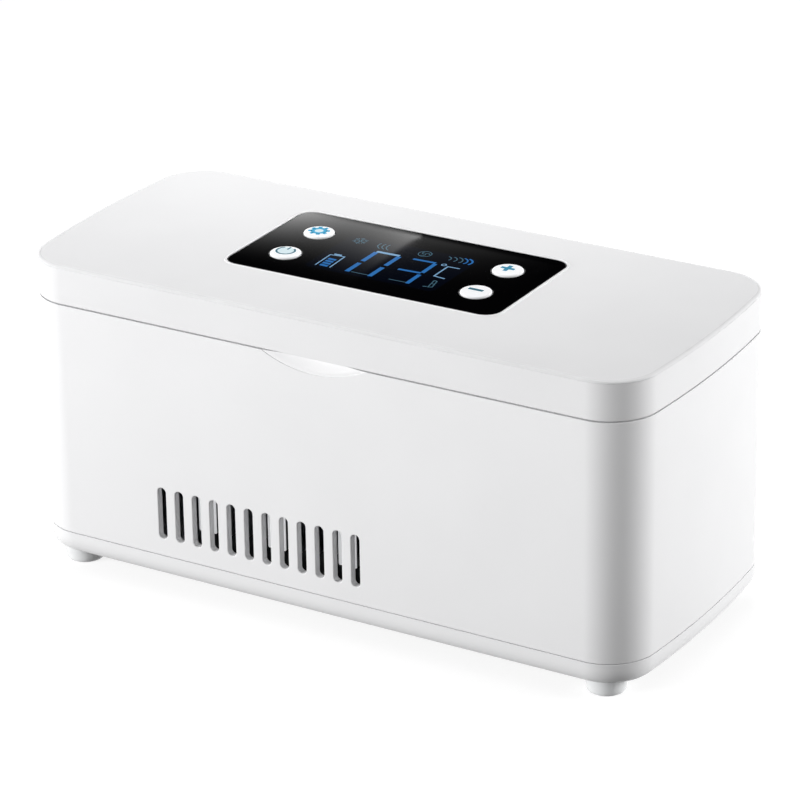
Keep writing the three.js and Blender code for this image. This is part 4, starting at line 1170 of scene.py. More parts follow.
    def feet(self) -> bpy.types.Object:
        """The four soft feet, one mesh laid out at the corners.

        Returns:
            The piece.
        """
        s, r = self.sizes, self.foot_radius
        shares = (
            (0.82, 0.0), (0.87, 0.05), (0.912, 0.2), (0.942, 0.5), (0.96, 0.9), (0.972, 1.4), (0.985, 2.8),
            (1.0, self.foot_height - 0.3), (0.99, self.foot_height),
        )
        profile = [(0, 0.0), *((r * share, z) for share, z in shares), (0, self.foot_height)]
        spots = [(sx * s.foot_x, sy * s.foot_y, 0.0) for sx in (-1, 1) for sy in (-1, 1)]
        piece = Repeat(Layout.SPOTS, spots=spots).of(turned(profile, sides=ROUND_SIDES)).piece("soft_feet", 35)
        names = [f"foot_{y}_{x}" for x in ("left", "right") for y in ("front", "back")]
        return dress(piece, "case", CLEAR_FOOT, names)

    def build(self) -> None:
        """Builds the body's pieces."""
        self.shell()
        self.base()
        self.feet()


class Key(Enum):
    """The four keys, each with its side of the panel's middle in X and Y."""

    SETTINGS = (-1, 1)
    POWER = (-1, -1)
    PLUS = (1, 1)
    MINUS = (1, -1)


@dataclass
class Panel:
    """The control panel, its keys, the printed signs and the display."""

    sizes: CaseSizes
    x: float = -2.0
    y: float = 4.7
    length: float = 90.0
    width: float = 46.8
    corner: float = 4.8
    thickness: float = 1.2
    sheet_edge: Profile = ((0.2, 0.0), (0.06, -0.06), (0.0, -0.2))
    hole_gap: float = 0.3
    hole_bevel: float = 0.12
    key_dx: float = 31.85
    key_dy: float = 9.3
    key_y: float = 4.5
    key_radius: float = 4.62
    key_edge: float = 0.45
    key_proud: float = 0.5
    key_base_z: float = 94.8
    flange_radius: float = 5.3
    flange_top_z: float = 95.7
    ink_height: float = 0.015
    tint_height: float = 0.008
    ink_depth: float = 0.02
    bead_width: float = 0.9
    bead_height: float = 0.2
    bead_foot: float = 0.3
    bead_steps: int = 8
    panel_gap: float = 0.32
    window_size: Point2 = (43.0, 27.6)
    window_corner: float = 2.0
    window_middle: Point2 = (-2.8, 3.4)
    window_proud: float = 0.006

    def outline(self, margin: float = 0.0) -> Outline:
        """The panel's outline, grown by a margin.

        Args:
            margin: how far it is grown.

        Returns:
            The outline, anticlockwise.
        """
        return rounded(
            self.length + 2 * margin, self.width + 2 * margin, self.corner + margin, self.x, self.y, 5.0,
        )

    def spot(self, key: Key) -> Point2:
        """Where a key stands."""
        return self.x + key.value[0] * self.key_dx, self.key_y + key.value[1] * self.key_dy

    def sheet(self) -> bpy.types.Object:
        """The black acrylic sheet with its four key holes.

        Returns:
            The piece.
        """
        top = self.sizes.height
        low = top - self.thickness
        edge = [(top - drop, self.outline(margin)) for drop, margin in self.sheet_edge]
        form = loft([(low, self.outline()), *edge])
        hole, bevel = self.key_radius + self.hole_gap, self.hole_bevel
        for key in Key:
            x, y = self.spot(key)
            form = form - turned([
                (0, low - 3), (hole, low - 3), (hole, top - bevel), (hole + bevel, top), (hole + bevel, top + 2),
                (0, top + 2),
            ], x, y, ROUND_SIDES)
        return dress(form.piece("acrylic_sheet"), "lid", BLACK_ACRYLIC, ["control_panel"])

    def key(self, key: Key) -> None:
        """One key with its printed sign, which sits a little off its middle.

        Args:
            key: which of the four.
        """
        x, y = self.spot(key)
        name = key.name.lower()
        crown = self.sizes.height + self.key_proud - self.ink_height
        low = crown - self.ink_depth
        r, flange, edge = self.key_radius, self.flange_radius, self.key_edge
        profile = [
            (0, self.key_base_z), (flange, self.key_base_z), (flange, self.flange_top_z), (r, self.flange_top_z),
            *arc(r - edge, crown - edge, edge, 0, 90, 15), (0, crown),
        ]
        piece = turned(profile, x, y, ROUND_SIDES).piece(f"{name}_button", 35)
        # The keys' glow is painted light.
        dress(piece, f"key_{name}", KEY_WHITE_PAINTED_GLOW, [f"key_{name}"])
        dx, dy = (-0.3, 0.5) if key is Key.SETTINGS else (-0.45, 0.8)
        draw, print_ink, fill_radius = {
            Key.SETTINGS: (self.gear, INK_BLUE, 1.45),
            Key.POWER: (self.power, INK_TEAL, 2.6),
            Key.PLUS: (self.plus, INK_SEA, 0.0),
            Key.MINUS: (self.minus, INK_TEAL, 0.0),
        }[key]
        mark = draw(x + dx, y + dy).form(low, crown + self.ink_height).piece(f"{name}_sign")
        dress(mark, f"key_{name}", print_ink)
        if fill_radius:
            tint = prism(circle(x + dx, y + dy, fill_radius, 10), low, crown + self.tint_height).piece(f"{name}_tint")
            dress(tint, f"key_{name}", INK_PALE)

    def gear(self, x: float, y: float) -> "Drawing":
        """The settings sign: a toothed ring.

        Args:
            x: its middle.
            y: its middle.

        Returns:
            The drawing.
        """
        drawing = Drawing().ring(x, y, 1.3, 2.45)
        for i in range(8):
            turn = math.radians(45 * i + 22.5)
            ax, ay = math.cos(turn), math.sin(turn)
            drawing.stroke([(x + 2.2 * ax, y + 2.2 * ay), (x + 3.25 * ax, y + 3.25 * ay)], 1.15)
        return drawing

    def power(self, x: float, y: float) -> "Drawing":
        """The power sign: an open ring and a tick."""
        return Drawing().bow(x, y, 2.75, 125, 415, 0.58).stroke([(x, y + 0.9), (x, y + 2.9)], 0.55)

    def plus(self, x: float, y: float) -> "Drawing":
        """The plus sign, one outline of four equal quarters.

        Args:
            x: its middle.
            y: its middle.

        Returns:
            The drawing.
        """
        reach, half = 2.2, 0.65
        quarter = [(half, -reach), (half, -half), (reach, -half)]
        turns = ((1, 0), (0, 1), (-1, 0), (0, -1))
        return Drawing().polygon([(x + a * c - b * s, y + a * s + b * c) for c, s in turns for a, b in quarter])

    def minus(self, x: float, y: float) -> "Drawing":
        """The minus sign."""
        return Drawing().stroke([(x - 2.35, y), (x + 2.35, y)], 1.3)

    def bead(self) -> bpy.types.Object:
        """The polished bead of the lid round the sheet, painted whiter than the lid as a highlight.

        Returns:
            The piece.
        """
        top, gap = self.sizes.height, self.panel_gap
        wide, high, foot = self.bead_width, self.bead_height, self.bead_foot
        levels = [(top - foot, self.outline(gap + wide)), (top, self.outline(gap + wide))]
        for i in range(1, self.bead_steps):
            turn = math.pi * i / self.bead_steps
            levels.append((top + high * math.sin(turn), self.outline(gap + wide * (0.5 + 0.5 * math.cos(turn)))))
        levels += [(top, self.outline(gap)), (top - foot, self.outline(gap))]
        return dress(hoop(levels).piece("panel_bead", 40), "lid", POLISHED_BEAD_PAINTED_HIGHLIGHT)

    def zero(self, weight: float = 1.45) -> "Digit":
        """The first digit."""
        return Digit((-11.6, -8.8), (-2.4, -8.8), (-2.6, 9.4), (-11.7, 9.2), weight)

    def three(self, weight: float = 1.3) -> "Digit":
        """The second digit."""
        return Digit((0.9, -8.6), (9.85, -8.4), (9.4, 9.5), (0.6, 9.2), weight)

    def lit(self) -> "Drawing":
        """The lit signs: the digits' bars, the battery's bars and the strongest level bows.

        Returns:
            The drawing.
        """
        d = Drawing()
        for y in (-8.1, -6.4, -4.7, -3.0):
            lean = -0.06 * (y + 8.1)
            d.polygon([(-20.4 + lean, y), (-17.7 + lean, y - 0.1), (-17.8 + lean, y + 1.1), (-20.5 + lean, y + 1.2)])
        self.zero().draw(d, Segment.UPPER_LEFT, Segment.LOWER_LEFT, Segment.UPPER_RIGHT, Segment.LOWER_RIGHT)
        self.three().draw(d, Segment.TOP, Segment.MIDDLE, Segment.UPPER_RIGHT, Segment.LOWER_RIGHT)
        d.bow(13.65, 13.95, 2.5, -32, 80, 0.45).bow(15.1, 14.0, 2.6, -32, 78, 0.6)
        return d

    def pale(self) -> "Drawing":
        """The paler lit signs: the battery's outline, the zero's top, the unit and the small sign.

        Returns:
            The drawing.
        """
        d = Drawing()
        d.stroke([(-21.5, -8.4), (-21.8, 0.5), (-17.2, 0.9), (-16.7, -8.3)], 0.42)
        d.polygon([(-20.9, 1.0), (-18.4, 1.1), (-18.6, 1.9), (-21.1, 1.8)])
        self.zero(1.5).draw(d, Segment.TOP)
        d.ring(11.35, 9.15, 0.5, 0.85)
        d.stroke([(16.8, 8.7), (13.0, 8.5), (13.1, 0.4), (16.9, -0.1)], 0.5)
        return d

    def dim(self) -> "Drawing":
        """The unlit signs: snowflake, fan, level bows and the resting segments.

        Returns:
            The drawing.
        """
        d = Drawing()
        x, y = -19.8, 14.1
        for i in range(3):
            turn = math.radians(60 * i + 30)
            ax, ay = 2.4 * math.cos(turn), 2.4 * math.sin(turn)
            d.stroke([(x - ax, y - ay), (x + ax, y + ay)], 0.3)
        for i in range(6):
            turn = math.radians(60 * i + 30)
            for side in (-0.36, 0.36):
                near, far = 1.2, 2.1
                d.stroke([
                    (x + near * math.cos(turn), y + near * math.sin(turn)),
                    (x + far * math.cos(turn + side), y + far * math.sin(turn + side)),
                ], 0.26)
        for i in range(3):
            d.bow(-10.6 + 1.45 * i, 14.1, 2.85, 155, 247, 0.34)
        d.ring(2.2, 14.0, 1.85, 2.15)
        for i in range(3):
            d.bow(2.2 + 0.7 * math.cos(2.1 * i), 14.0 + 0.7 * math.sin(2.1 * i), 0.75, 120 * i, 120 * i + 200, 0.32)
        for i, radius in enumerate((1.62, 2.0, 2.37)):
            d.bow(9.2 + 1.5 * i, 13.9, radius, -34, 84, 0.36)
        self.zero(0.4).draw(d, Segment.BOTTOM)
        self.three(0.4).draw(d, Segment.BOTTOM)
        d.stroke([(14.9, -2.5), (16.0, -2.9), (16.9, -7.3), (15.8, -7.8), (14.9, -2.5)], 0.34)
        d.stroke([(15.4, -5.0), (16.4, -5.2)], 0.34).stroke([(14.2, -8.0), (15.3, -7.6)], 0.5)
        return d

    def build(self) -> None:
        """Builds the panel's pieces."""
        self.sheet()
        for key in Key:
            self.key(key)
        self.bead()
        top = self.sizes.height
        low = top - self.ink_depth
        outline = rounded(*self.window_size, self.window_corner, *self.window_middle)
        window = prism(outline, low, top + self.window_proud).piece("display_window")
        dress(window, "lid", DARK_WINDOW)
        for name, drawing, finish, proud in (
            ("dim_signs", self.dim(), DIM_SEGMENT, 0.012), ("pale_signs", self.pale(), PALE_SEGMENT, 0.016),
            ("lit_signs", self.lit(), LIT_SEGMENT, 0.014),
        ):
            dress(drawing.form(low, top + proud).piece(name), "lid", finish)


class Drawing:
    """Flat signs drawn in the panel's plane, in millimetres."""

    def __init__(self) -> None:
        """Starts an empty drawing."""
        self.parts: list[Outline] = []
        self.rings: list[tuple[Outline, Outline]] = []

    def polygon(self, outline: Outline) -> "Drawing":
        """Adds a filled outline."""
        self.parts.append(outline)
        return self

    def ring(self, x: float, y: float, inner: float, outer: float) -> "Drawing":
        """Adds a full ring."""
        self.rings.append((circle(x, y, inner, 10), circle(x, y, outer, 10)))
        return self

    def stroke(self, path: Outline, width: float) -> "Drawing":
        """Adds a line of that width along a path, with mitred bends.

        Args:
            path: its middle line.
            width: of the line.

        Returns:
            The drawing.
        """
        left, right = [], []
        for i, (x, y) in enumerate(path):
            before = Vector(path[i]) - Vector(path[i - 1]) if i else Vector(path[1]) - Vector(path[0])
            after = Vector(path[i + 1]) - Vector(path[i]) if i + 1 < len(path) else before
            if not i:
                before = after
            across = (before.normalized() + after.normalized()).normalized().orthogonal()
            reach = width / 2 / max(0.4, across.dot(before.normalized().orthogonal()))
            left.append((x + across.x * reach, y + across.y * reach))
            right.append((x - across.x * reach, y - across.y * reach))
        for i in range(len(path) - 1):
            self.parts.append([left[i], right[i], right[i + 1], left[i + 1]])
        return self

    def bow(self, x: float, y: float, radius: float, start: float, end: float, width: float) -> "Drawing":
        """Adds a line of that width along an arc."""
        return self.stroke(arc(x, y, radius, start, end, 12), width)

    def form(self, z0: float, z1: float) -> Form:
        """The drawing as thin closed solids between two heights.

        Args:
            z0: the lower height.
            z1: the upper height.

        Returns:
            The form.
        """
        solids = [prism(part, z0, z1) for part in self.parts]
        solids += [hoop([(z0, out), (z1, out), (z1, inner), (z0, inner)]) for inner, out in self.rings]
        return Form.gathered(solids)


class Segment(Enum):
    """A digit's segments, each from one place to another, from 0 to 1 across and up."""

    UPPER_LEFT = ((0.08, 0.96), (0.08, 0.52))
    LOWER_LEFT = ((0.08, 0.43), (0.08, 0.02))
    UPPER_RIGHT = ((0.92, 0.96), (0.92, 0.52))
    LOWER_RIGHT = ((0.92, 0.43), (0.92, 0.01))
    TOP = ((0.06, 0.99), (0.9, 0.99))
    MIDDLE = ((0.06, 0.49), (0.88, 0.5))
    BOTTOM = ((0.22, 0.04), (0.88, 0.04))


@dataclass(frozen=True)
class Digit:
    """A seven-segment digit between four corners: bottom left, bottom right, top right and top left."""

    bottom_left: Point2
    bottom_right: Point2
    top_right: Point2
    top_left: Point2
    weight: float

    def at(self, across: float, up: float) -> Point2:
        """A place in the digit, from 0 to 1 both ways.

        Args:
            across: from the left to the right.
            up: from the bottom to the top.

        Returns:
            The place.
        """
        low = Vector(self.bottom_left).lerp(Vector(self.bottom_right), across)
        high = Vector(self.top_left).lerp(Vector(self.top_right), across)
        place = low.lerp(high, up)
        return place.x, place.y

    def draw(self, drawing: Drawing, *segments: Segment) -> None:
        """Draws segments, with the level ones a fifth thinner.

        Args:
            drawing: what they are added to.
            segments: which of them.
        """
        for segment in segments:
            start, end = segment.value
            width = self.weight if start[0] == end[0] else self.weight * 0.8
            drawing.stroke([self.at(*start), self.at(*end)], width)


@dataclass
class Lid:
    """The lid shell with its liner and gasket."""

    sizes: CaseSizes
    panel: Panel
    roof: float = 2.4
    edge_rise: float = 0.6
    edge_inset: float = 1.6
    line_z: float = 96.4
    line_height: float = 0.14
    line_depth: float = 0.2
    line_ease: float = 0.02
    post: Point2 = (44.8, 23.3)
    post_top_z: float = 96.0
    liner_post_z: float = 87.3
    liner_post_radius: float = 3.2
    panel_post_z: float = 93.1
    panel_post_radius: float = 2.5
    pilot: float = 1.3
    liner_pilot_z: Span = (87.0, 92.3)
    panel_pilot_z: Span = (92.8, 95.4)
    recess_z: float = 95.8
    recess_gap: float = 0.3
    recess_edge: Profile = ((0.35, 0.0), (0.1, 0.12), (0.0, 0.36), (-2.0, 0.36))
    window_inset: float = 3.4
    plate_z: Span = (85.4, 87.0)
    plug: Profile = ((81.4, -3.2), (81.55, -2.55), (82.0, -2.1), (82.6, -2.0), (87.0, -2.0))
    hollow_margin: float = -3.6
    hollow_z: Span = (83.0, 95.0)
    groove_margins: Span = (6.5, 9.5)
    groove_z: Span = (80.0, 86.0)
    liner_hole: Profile = (
        (0, 80), (2.45, 80), (2.45, 85.4), (2.2, 85.65), (2.2, 86.3), (1.3, 86.3), (1.3, 90), (0, 90),
    )
    seal_z: Span = (84.3, 85.7)
    seal_margin: float = 8.0
    seal_half: float = 1.2
    seal_round: float = 0.55

    def shell(self) -> bpy.types.Object:
        """The moulded lid shell, with a fine line under its rounded top edge.

        Returns:
            The piece.
        """
        s = self.sizes
        top = s.height
        turns = [math.pi / 2 * i / 6 for i in range(7)]
        edge = [
            (top - self.edge_rise * (1 - math.sin(a)), s.outline(self.edge_inset * (1 - math.cos(a)))) for a in turns
        ]
        ease, line_top = self.line_ease, self.line_z + self.line_height
        line = [
            (self.line_z, s.outline()), (self.line_z + ease, s.outline(self.line_depth)),
            (line_top - ease, s.outline(self.line_depth)), (line_top, s.outline(ease)),
        ]
        form = loft([*s.rim(s.lid_z, -1), *line, *edge])
        walls = form - prism(s.outline(s.lid_wall), 70.0, top - self.roof)
        walls = walls + s.rail(s.lid_z + s.rim_round, s.lid_z + s.rail_height)
        liner, post, middle = s.liner_screw, self.post, (self.panel.x, self.panel.key_y)
        rods = (self.liner_post_z, self.post_top_z, self.liner_post_radius, POST_STEP)
        walls = walls + s.at_corners(*liner, lambda x, y: rod(x, y, *rods))
        short_rods = (self.panel_post_z, self.post_top_z, self.panel_post_radius, POST_STEP)
        walls = walls + s.at_corners(*post, lambda x, y: rod(x, y, *short_rods), *middle)
        pilots = (*self.liner_pilot_z, self.pilot, PILOT_STEP)
        walls = walls - s.at_corners(*liner, lambda x, y: rod(x, y, *pilots))
        short_pilots = (*self.panel_pilot_z, self.pilot, PILOT_STEP)
        walls = walls - s.at_corners(*post, lambda x, y: rod(x, y, *short_pilots), *middle)
        steps = [(self.recess_z, 0.0), *((top - drop, ease) for drop, ease in self.recess_edge)]
        recess = loft([(z, self.panel.outline(self.recess_gap + ease)) for z, ease in steps])
        walls = walls - recess - prism(self.panel.outline(-self.window_inset), 85.0, top + 2)
        walls = walls - s.groove(1) - s.pockets()
        half = s.knuckle_length / 2
        knuckles = s.at_hinges(lambda x: s.knuckle(x - half, x + half, 1))
        piece = ((walls + knuckles) - s.bores()).piece("lid_moulding")
        return dress(piece, "lid", SATIN_LID, ["lid_shell"])

    def liner(self) -> bpy.types.Object:
        """The inner plate with the plug that fits the chamber's mouth.

        Returns:
            The piece.
        """
        s = self.sizes
        plate = prism(s.outline(s.lid_wall + s.seat_gap), *self.plate_z) - s.back_strip()
        plug = loft([(z, s.chamber(margin)) for z, margin in self.plug])
        hollow = prism(s.chamber(self.hollow_margin), *self.hollow_z)
        near, far = (s.chamber(margin) for margin in self.groove_margins)
        low, high = self.groove_z
        groove = hoop([(low, far), (high, far), (high, near), (low, near)])
        holes = s.at_corners(*s.liner_screw, lambda x, y: turned(self.liner_hole, x, y, HOLE_SIDES))
        form = (plate + plug) - hollow - groove - holes
        return dress(form.piece("liner_moulding"), "lid", SATIN_LINER, ["lid_liner"])

    def gasket(self) -> bpy.types.Object:
        """The silicone ring, rounded where it meets the trim.

        Returns:
            The piece.
        """
        s = self.sizes
        (low, top), middle, half = self.seal_z, self.seal_margin, self.seal_half
        turns = [math.pi * i / 12 for i in range(13)]
        lobe = [(low + self.seal_round * (1 - math.sin(a)), middle + half * math.cos(a)) for a in turns]
        section = [(top, middle + half), *lobe, (top, middle - half)]
        form = hoop([(z, s.chamber(margin)) for z, margin in section])
        return dress(form.piece("lid_seal", 40), "lid", SILICONE, ["lid_gasket"])

    def build(self) -> None:
        """Builds the lid's pieces."""
        self.shell()
        self.liner()
        self.gasket()


@dataclass
class Chamber:
    """The cold chamber's tray and the trim round its mouth."""

    sizes: CaseSizes
    floor_z: float = 57.0
    bottom_z: float = 55.5
    flange_z: float = 83.0
    flange_margin: float = 4.0
    draw_radius: float = 4.0
    sheet: float = 1.0
    flare_radius: float = 1.2
    lip_round: float = 0.6
    trim_inset: float = 2.5
    trim_rim: Profile = ((81.0, 0.0), (83.7, 0.0), (83.92, 0.08), (84.0, 0.3))
    trim_mouth: float = 4.3
    mouth_rim: Profile = ((81.7, 0.0), (83.6, 0.0), (83.88, 0.12), (84.0, 0.4), (90.0, 0.4))
    tray_hole: float = 1.3

    def tray(self) -> bpy.types.Object:
        """The drawn tray, with the round edge that drawing leaves above its floor.

        Returns:
            The piece.
        """
        s, r = self.sizes, self.draw_radius
        turns = [math.pi / 2 * i / 8 for i in range(9)]
        sheet, bend, lip = self.sheet, self.flare_radius, self.lip_round
        wide, top = r + sheet, self.flange_z
        outside = [
            (self.bottom_z + wide * (1 - math.cos(a)), s.chamber(sheet - wide * (1 - math.sin(a)))) for a in turns
        ]
        flare = [
            (top - sheet - bend * (1 - math.sin(a)), s.chamber(sheet + bend * (1 - math.cos(a)))) for a in turns[::2]
        ]
        flange = [(z, s.chamber(self.flange_margin)) for z in (top - sheet + HAIR, top)]
        outer = loft([*outside, *flare, *flange])
        inside = [(self.floor_z + r * (1 - math.cos(a)), s.chamber(-r * (1 - math.sin(a)))) for a in turns]
        mouth = [(top - lip * (1 - math.sin(a)), s.chamber(lip * (1 - math.cos(a)))) for a in turns[::2]]
        inner = loft([*inside, *mouth, (top + 2, s.chamber(lip))])
        piece = (outer - inner).piece("drawn_tray", 35)
        return dress(piece, "case", DRAWN_ALUMINIUM, ["cold_chamber"])

    def trim(self) -> bpy.types.Object:
        """The moulded frame that carries the tray's flange.

        Returns:
            The piece.
        """
        s = self.sizes
        form = loft([(z, s.outline(self.trim_inset + ease)) for z, ease in self.trim_rim])
        mouth = loft([(z, s.chamber(self.trim_mouth + ease)) for z, ease in self.mouth_rim])
        form = form - prism(s.chamber(self.tray_hole), 70.0, 90.0) - mouth - s.back_strip()
        return dress(form.piece("mouth_trim"), "case", SATIN_LINER, ["chamber_trim"])

    def build(self) -> None:
        """Builds the chamber's pieces."""
        self.tray()
        self.trim()


@dataclass
class Stack:
    """Heat sink, fan and the smaller mouldings that show through openings."""

    sizes: CaseSizes
    fin_count: int = 14
    fin_pitch: float = 4.8
    fin_shift: float = 1.0
    fin_thickness: float = 1.1
    fin_tip_z: float = 18.15
    fin_root_z: float = 37.3
    fin_bevel: float = 0.2
    edge_width: float = 1.2
    edge_z: Span = (18.3, 37.0)
    edge_bevel: float = 0.3
    edge_y: Span = (-36.3, -36.02)
    base_half_x: float = 34.0
    base_half_y: float = 36.0
    base_z: Span = (37.15, 41.15)
    clamp_dx: float = 25.0
    clamp_head: float = 3.6
    clamp_bore: float = 1.7
    ease_width: float = 0.15

    def row(self, fin: Form) -> Form:
        """One form at every fin's place."""
        first = self.sizes.stack_x + self.fin_shift - (self.fin_count - 1) / 2 * self.fin_pitch
        return Repeat(Layout.ROW, self.fin_count, (first, 0, 0), (self.fin_pitch, 0, 0)).of(fin)

    def sink(self) -> bpy.types.Object:
        """The extruded heat sink: a row of fins under its base, with strips at the fins' front edges that carry painted
        light.

        Returns:
            The piece.
        """
        x, half_y, tip, root = self.sizes.stack_x, self.base_half_y, self.fin_tip_z, self.fin_root_z
        half, bevel = self.fin_thickness / 2, tip + self.fin_bevel
        fins = self.row(prism_along_y([
            (-half, root), (-half * 0.8, bevel), (-half * 0.4, tip), (half * 0.4, tip), (half * 0.8, bevel),
            (half, root),
        ], -half_y, half_y))
        half, (low, high) = self.edge_width / 2, self.edge_z
        bevel = low + self.edge_bevel
        edges = self.row(prism_along_y([
            (-half, high), (-half, bevel), (-half * 0.6, low), (half * 0.6, low), (half, bevel), (half, high),
        ], *self.edge_y))
        # Painted light: the strips are paler than the sink and glow, so they show through the slots.
        dress(edges.piece("fin_edges"), "case", FIN_EDGE_PAINTED_LIGHT)
        base = block(x - self.base_half_x, x + self.base_half_x, -half_y, half_y, *self.base_z)
        head, bore, low = self.clamp_head, self.clamp_bore, self.base_z[0]
        pockets = Form.gathered([
            turned([(0, 8), (head, 8), (head, low), (bore, low), (bore, 50), (0, 50)], x + dx, 0, HOLE_SIDES)
            for dx in (-self.clamp_dx, self.clamp_dx)
        ])
        piece = (base + fins - pockets).piece("finned_sink")
        return dress(piece, "case", EXTRUDED_ALUMINIUM, ["heat_sink"])

    def softened(self, node: str, name: str, body: str, finish: Finish) -> bpy.types.Object:
        """A CAD node's shape with its facets shaded smooth and its edges eased.

        Args:
            node: the CAD node.
            name: the piece's name.
            body: the body that it moves with.
            finish: its material.

        Returns:
            The piece.
        """
        piece = Form.carried(node).piece(name, 32)
        ease = piece.modifiers.new("ease", "BEVEL")
        ease.width, ease.segments = self.ease_width * MM, 2
        ease.limit_method, ease.angle_limit = "ANGLE", math.radians(40)
        ease.harden_normals = True
        swap_mesh(piece)
        return dress(piece, body, finish, [node])

    def build(self) -> None:
        """Builds the stack's pieces."""
        self.sink()
        self.softened("fan_rotor", "fan_wheel", "fan_rotor", FAN_NYLON)
        self.softened("fan_frame", "fan_housing", "case", FAN_NYLON)
        self.softened("dc_jack", "power_socket", "case", MOULDED_EPOXY)
        for side in ("left", "right"):
            self.softened(f"hinge_pin_{side}", f"steel_pin_{side}", "case", PLATED_STEEL)


@dataclass(frozen=True)
class ScrewSet:
    """Identical screws of one body, made as one piece.

    Attributes:
        name: the piece's name.
        body: the body that they sit in.
        nodes: the CAD nodes that they stand for.
        radius: of the shank.
        head_radius: of the head.
        head_height: of the head.
        up: true where the head is at the top.
    """

    name: str
    body: str
    nodes: tuple[str, ...]
    radius: float
    head_radius: float
    head_height: float
    up: bool = False

    def shape(self, length: float) -> Form:
        """One screw, its head's face at height 0 and its shank above it.

        Args:
            length: of the whole screw.

        Returns:
            The form.
        """
        r, head, h = self.radius, self.head_radius, self.head_height
        form = turned([
            (0, 0.0), (head * 0.7, 0.0), (head * 0.86, h * 0.08), (head * 0.96, h * 0.28), (head, h * 0.55),
            (head, h), (r, h), (r, length - 1.6), (r * 0.7, length - 0.8), (0, length),
        ], sides=28)
        cross = [
            loft([
                (-1.0, rounded(head * 1.25 * a + w * b, head * 1.25 * b + w * a, 0.05, step=45)),
                (h * 0.62, rounded(head * 0.75 * a + w * b * 0.7, head * 0.75 * b + w * a * 0.7, 0.05, step=45)),
            ])
            for a, b, w in ((1, 0, head * 0.34), (0, 1, head * 0.34))
        ]
        form = form - (cross[0] + cross[1])
        return form.placed(Matrix.Rotation(math.pi, 4, "X")) if self.up else form

    def build(self) -> bpy.types.Object:
        """Lays the screws out where the CAD nodes stand, each turned as it happened to stop.

        Returns:
            The piece.
        """
        boxes = [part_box(node) for node in self.nodes]
        length = (boxes[0][1].z - boxes[0][0].z) / MM
        spots = [
            ((lo.x + hi.x) / 2 / MM, (lo.y + hi.y) / 2 / MM, (hi.z if self.up else lo.z) / MM) for lo, hi in boxes
        ]
        screws = Repeat(Layout.SPOTS, spots=spots, turn=math.pi / 2, seed=11).of(self.shape(length))
        return dress(screws.piece(self.name), self.body, PLATED_STEEL, self.nodes)


def corner_names(name: str) -> tuple[str, ...]:
    """The names of four CAD nodes at corners."""
    return tuple(f"{name}_{y}_{x}" for y in ("front", "back") for x in ("left", "right"))


SCREW_SETS = (
    ScrewSet("base_screws", "case", corner_names("base_screw"), 1.4, 2.8, 1.9),
    ScrewSet("fan_screws", "case", corner_names("fan_screw"), 1.0, 1.9, 1.3),
    ScrewSet("lid_screws", "lid", corner_names("lid_screw"), 1.0, 1.9, 1.3),
    ScrewSet("display_screws", "lid", corner_names("display_screw"), 1.0, 1.9, 1.3),
    ScrewSet("board_screws", "case", ("main_board_screw_left", "main_board_screw_right"), 1.0, 1.9, 1.3, True),
    ScrewSet("clamp_screws", "case", ("clamp_screw_left", "clamp_screw_right"), 1.4, 2.8, 1.9),
)

# What the CAD nodes that keep their own shape are made of
CARRIED = {
    "chamber_insulation": BLACK_FOAM, "lid_insulation": BLACK_FOAM,
    "cold_block": EXTRUDED_ALUMINIUM, "peltier_module": CERAMIC,
    "battery_tray": SATIN_LINER, "battery_cell_front": SHRINK_SLEEVE, "battery_cell_back": SHRINK_SLEEVE,
    "battery_tab_left": PLATED_STEEL, "battery_tab_right": PLATED_STEEL,
    "main_board": SOLDER_MASK, "display_board": SOLDER_MASK, "display_module": MOULDED_EPOXY,
    "temperature_sensor": PLATED_STEEL,
    "body_magnet_left": PLATED_STEEL, "body_magnet_right": PLATED_STEEL,
    "lid_magnet_left": PLATED_STEEL, "lid_magnet_right": PLATED_STEEL,
}


def dress_carried() -> None:
    """Gives every CAD node its procedural material."""
    for name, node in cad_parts.items():
        finish = CARRIED.get(name, GLOSS_SHELL)
        if not node.data.materials:
            node.data.materials.append(None)
        for slot in node.material_slots:
            slot.link = "OBJECT"
            slot.material = finish.material()
        LOG.info("%s keeps its shape, in %s", name, finish.name)


# Studio

# The height that the lamps are aimed at.
CASE_MIDDLE = 50.0


def direction(azimuth: float, elevation: float) -> Vector:
    """A direction in degrees, away from the object.

    Args:
        azimuth: 0 is in front and 90 to the right.
        elevation: above the floor.

    Returns:
        The direction, one long.
    """
    a, e = math.radians(azimuth), math.radians(elevation)
    return Vector((math.sin(a) * math.cos(e), -math.cos(a) * math.cos(e), math.sin(e)))


@dataclass(frozen=True)
class Softbox:
    """A soft square lamp, aimed at the case. Mirrors don't see it, so it burns out neither panel nor gloss.

    Attributes:
        name: the lamp's name.
        azimuth: where it stands, in degrees.
        elevation: where it stands, in degrees.
        distance: from the case's middle, in millimetres.
        size: of each side, in millimetres.
        level: its power in watts.
    """

    name: str
    azimuth: float
    elevation: float
    distance: float
    size: float
    level: float

    def build(self) -> None:
        """Hangs the lamp."""
        away = direction(self.azimuth, self.elevation)
        data = bpy.data.lights.new(self.name, "AREA")
        data.shape, data.size, data.energy = "SQUARE", self.size * MM, self.level
        lamp = bpy.data.objects.new(self.name, data)
        lamp.visible_glossy = False
        bpy.context.scene.collection.objects.link(lamp)
        place = (Vector((0, 0, CASE_MIDDLE)) + away * self.distance) * MM
        lamp.matrix_world = Matrix.Translation(place) @ away.to_track_quat("Z", "Y").to_matrix().to_4x4()


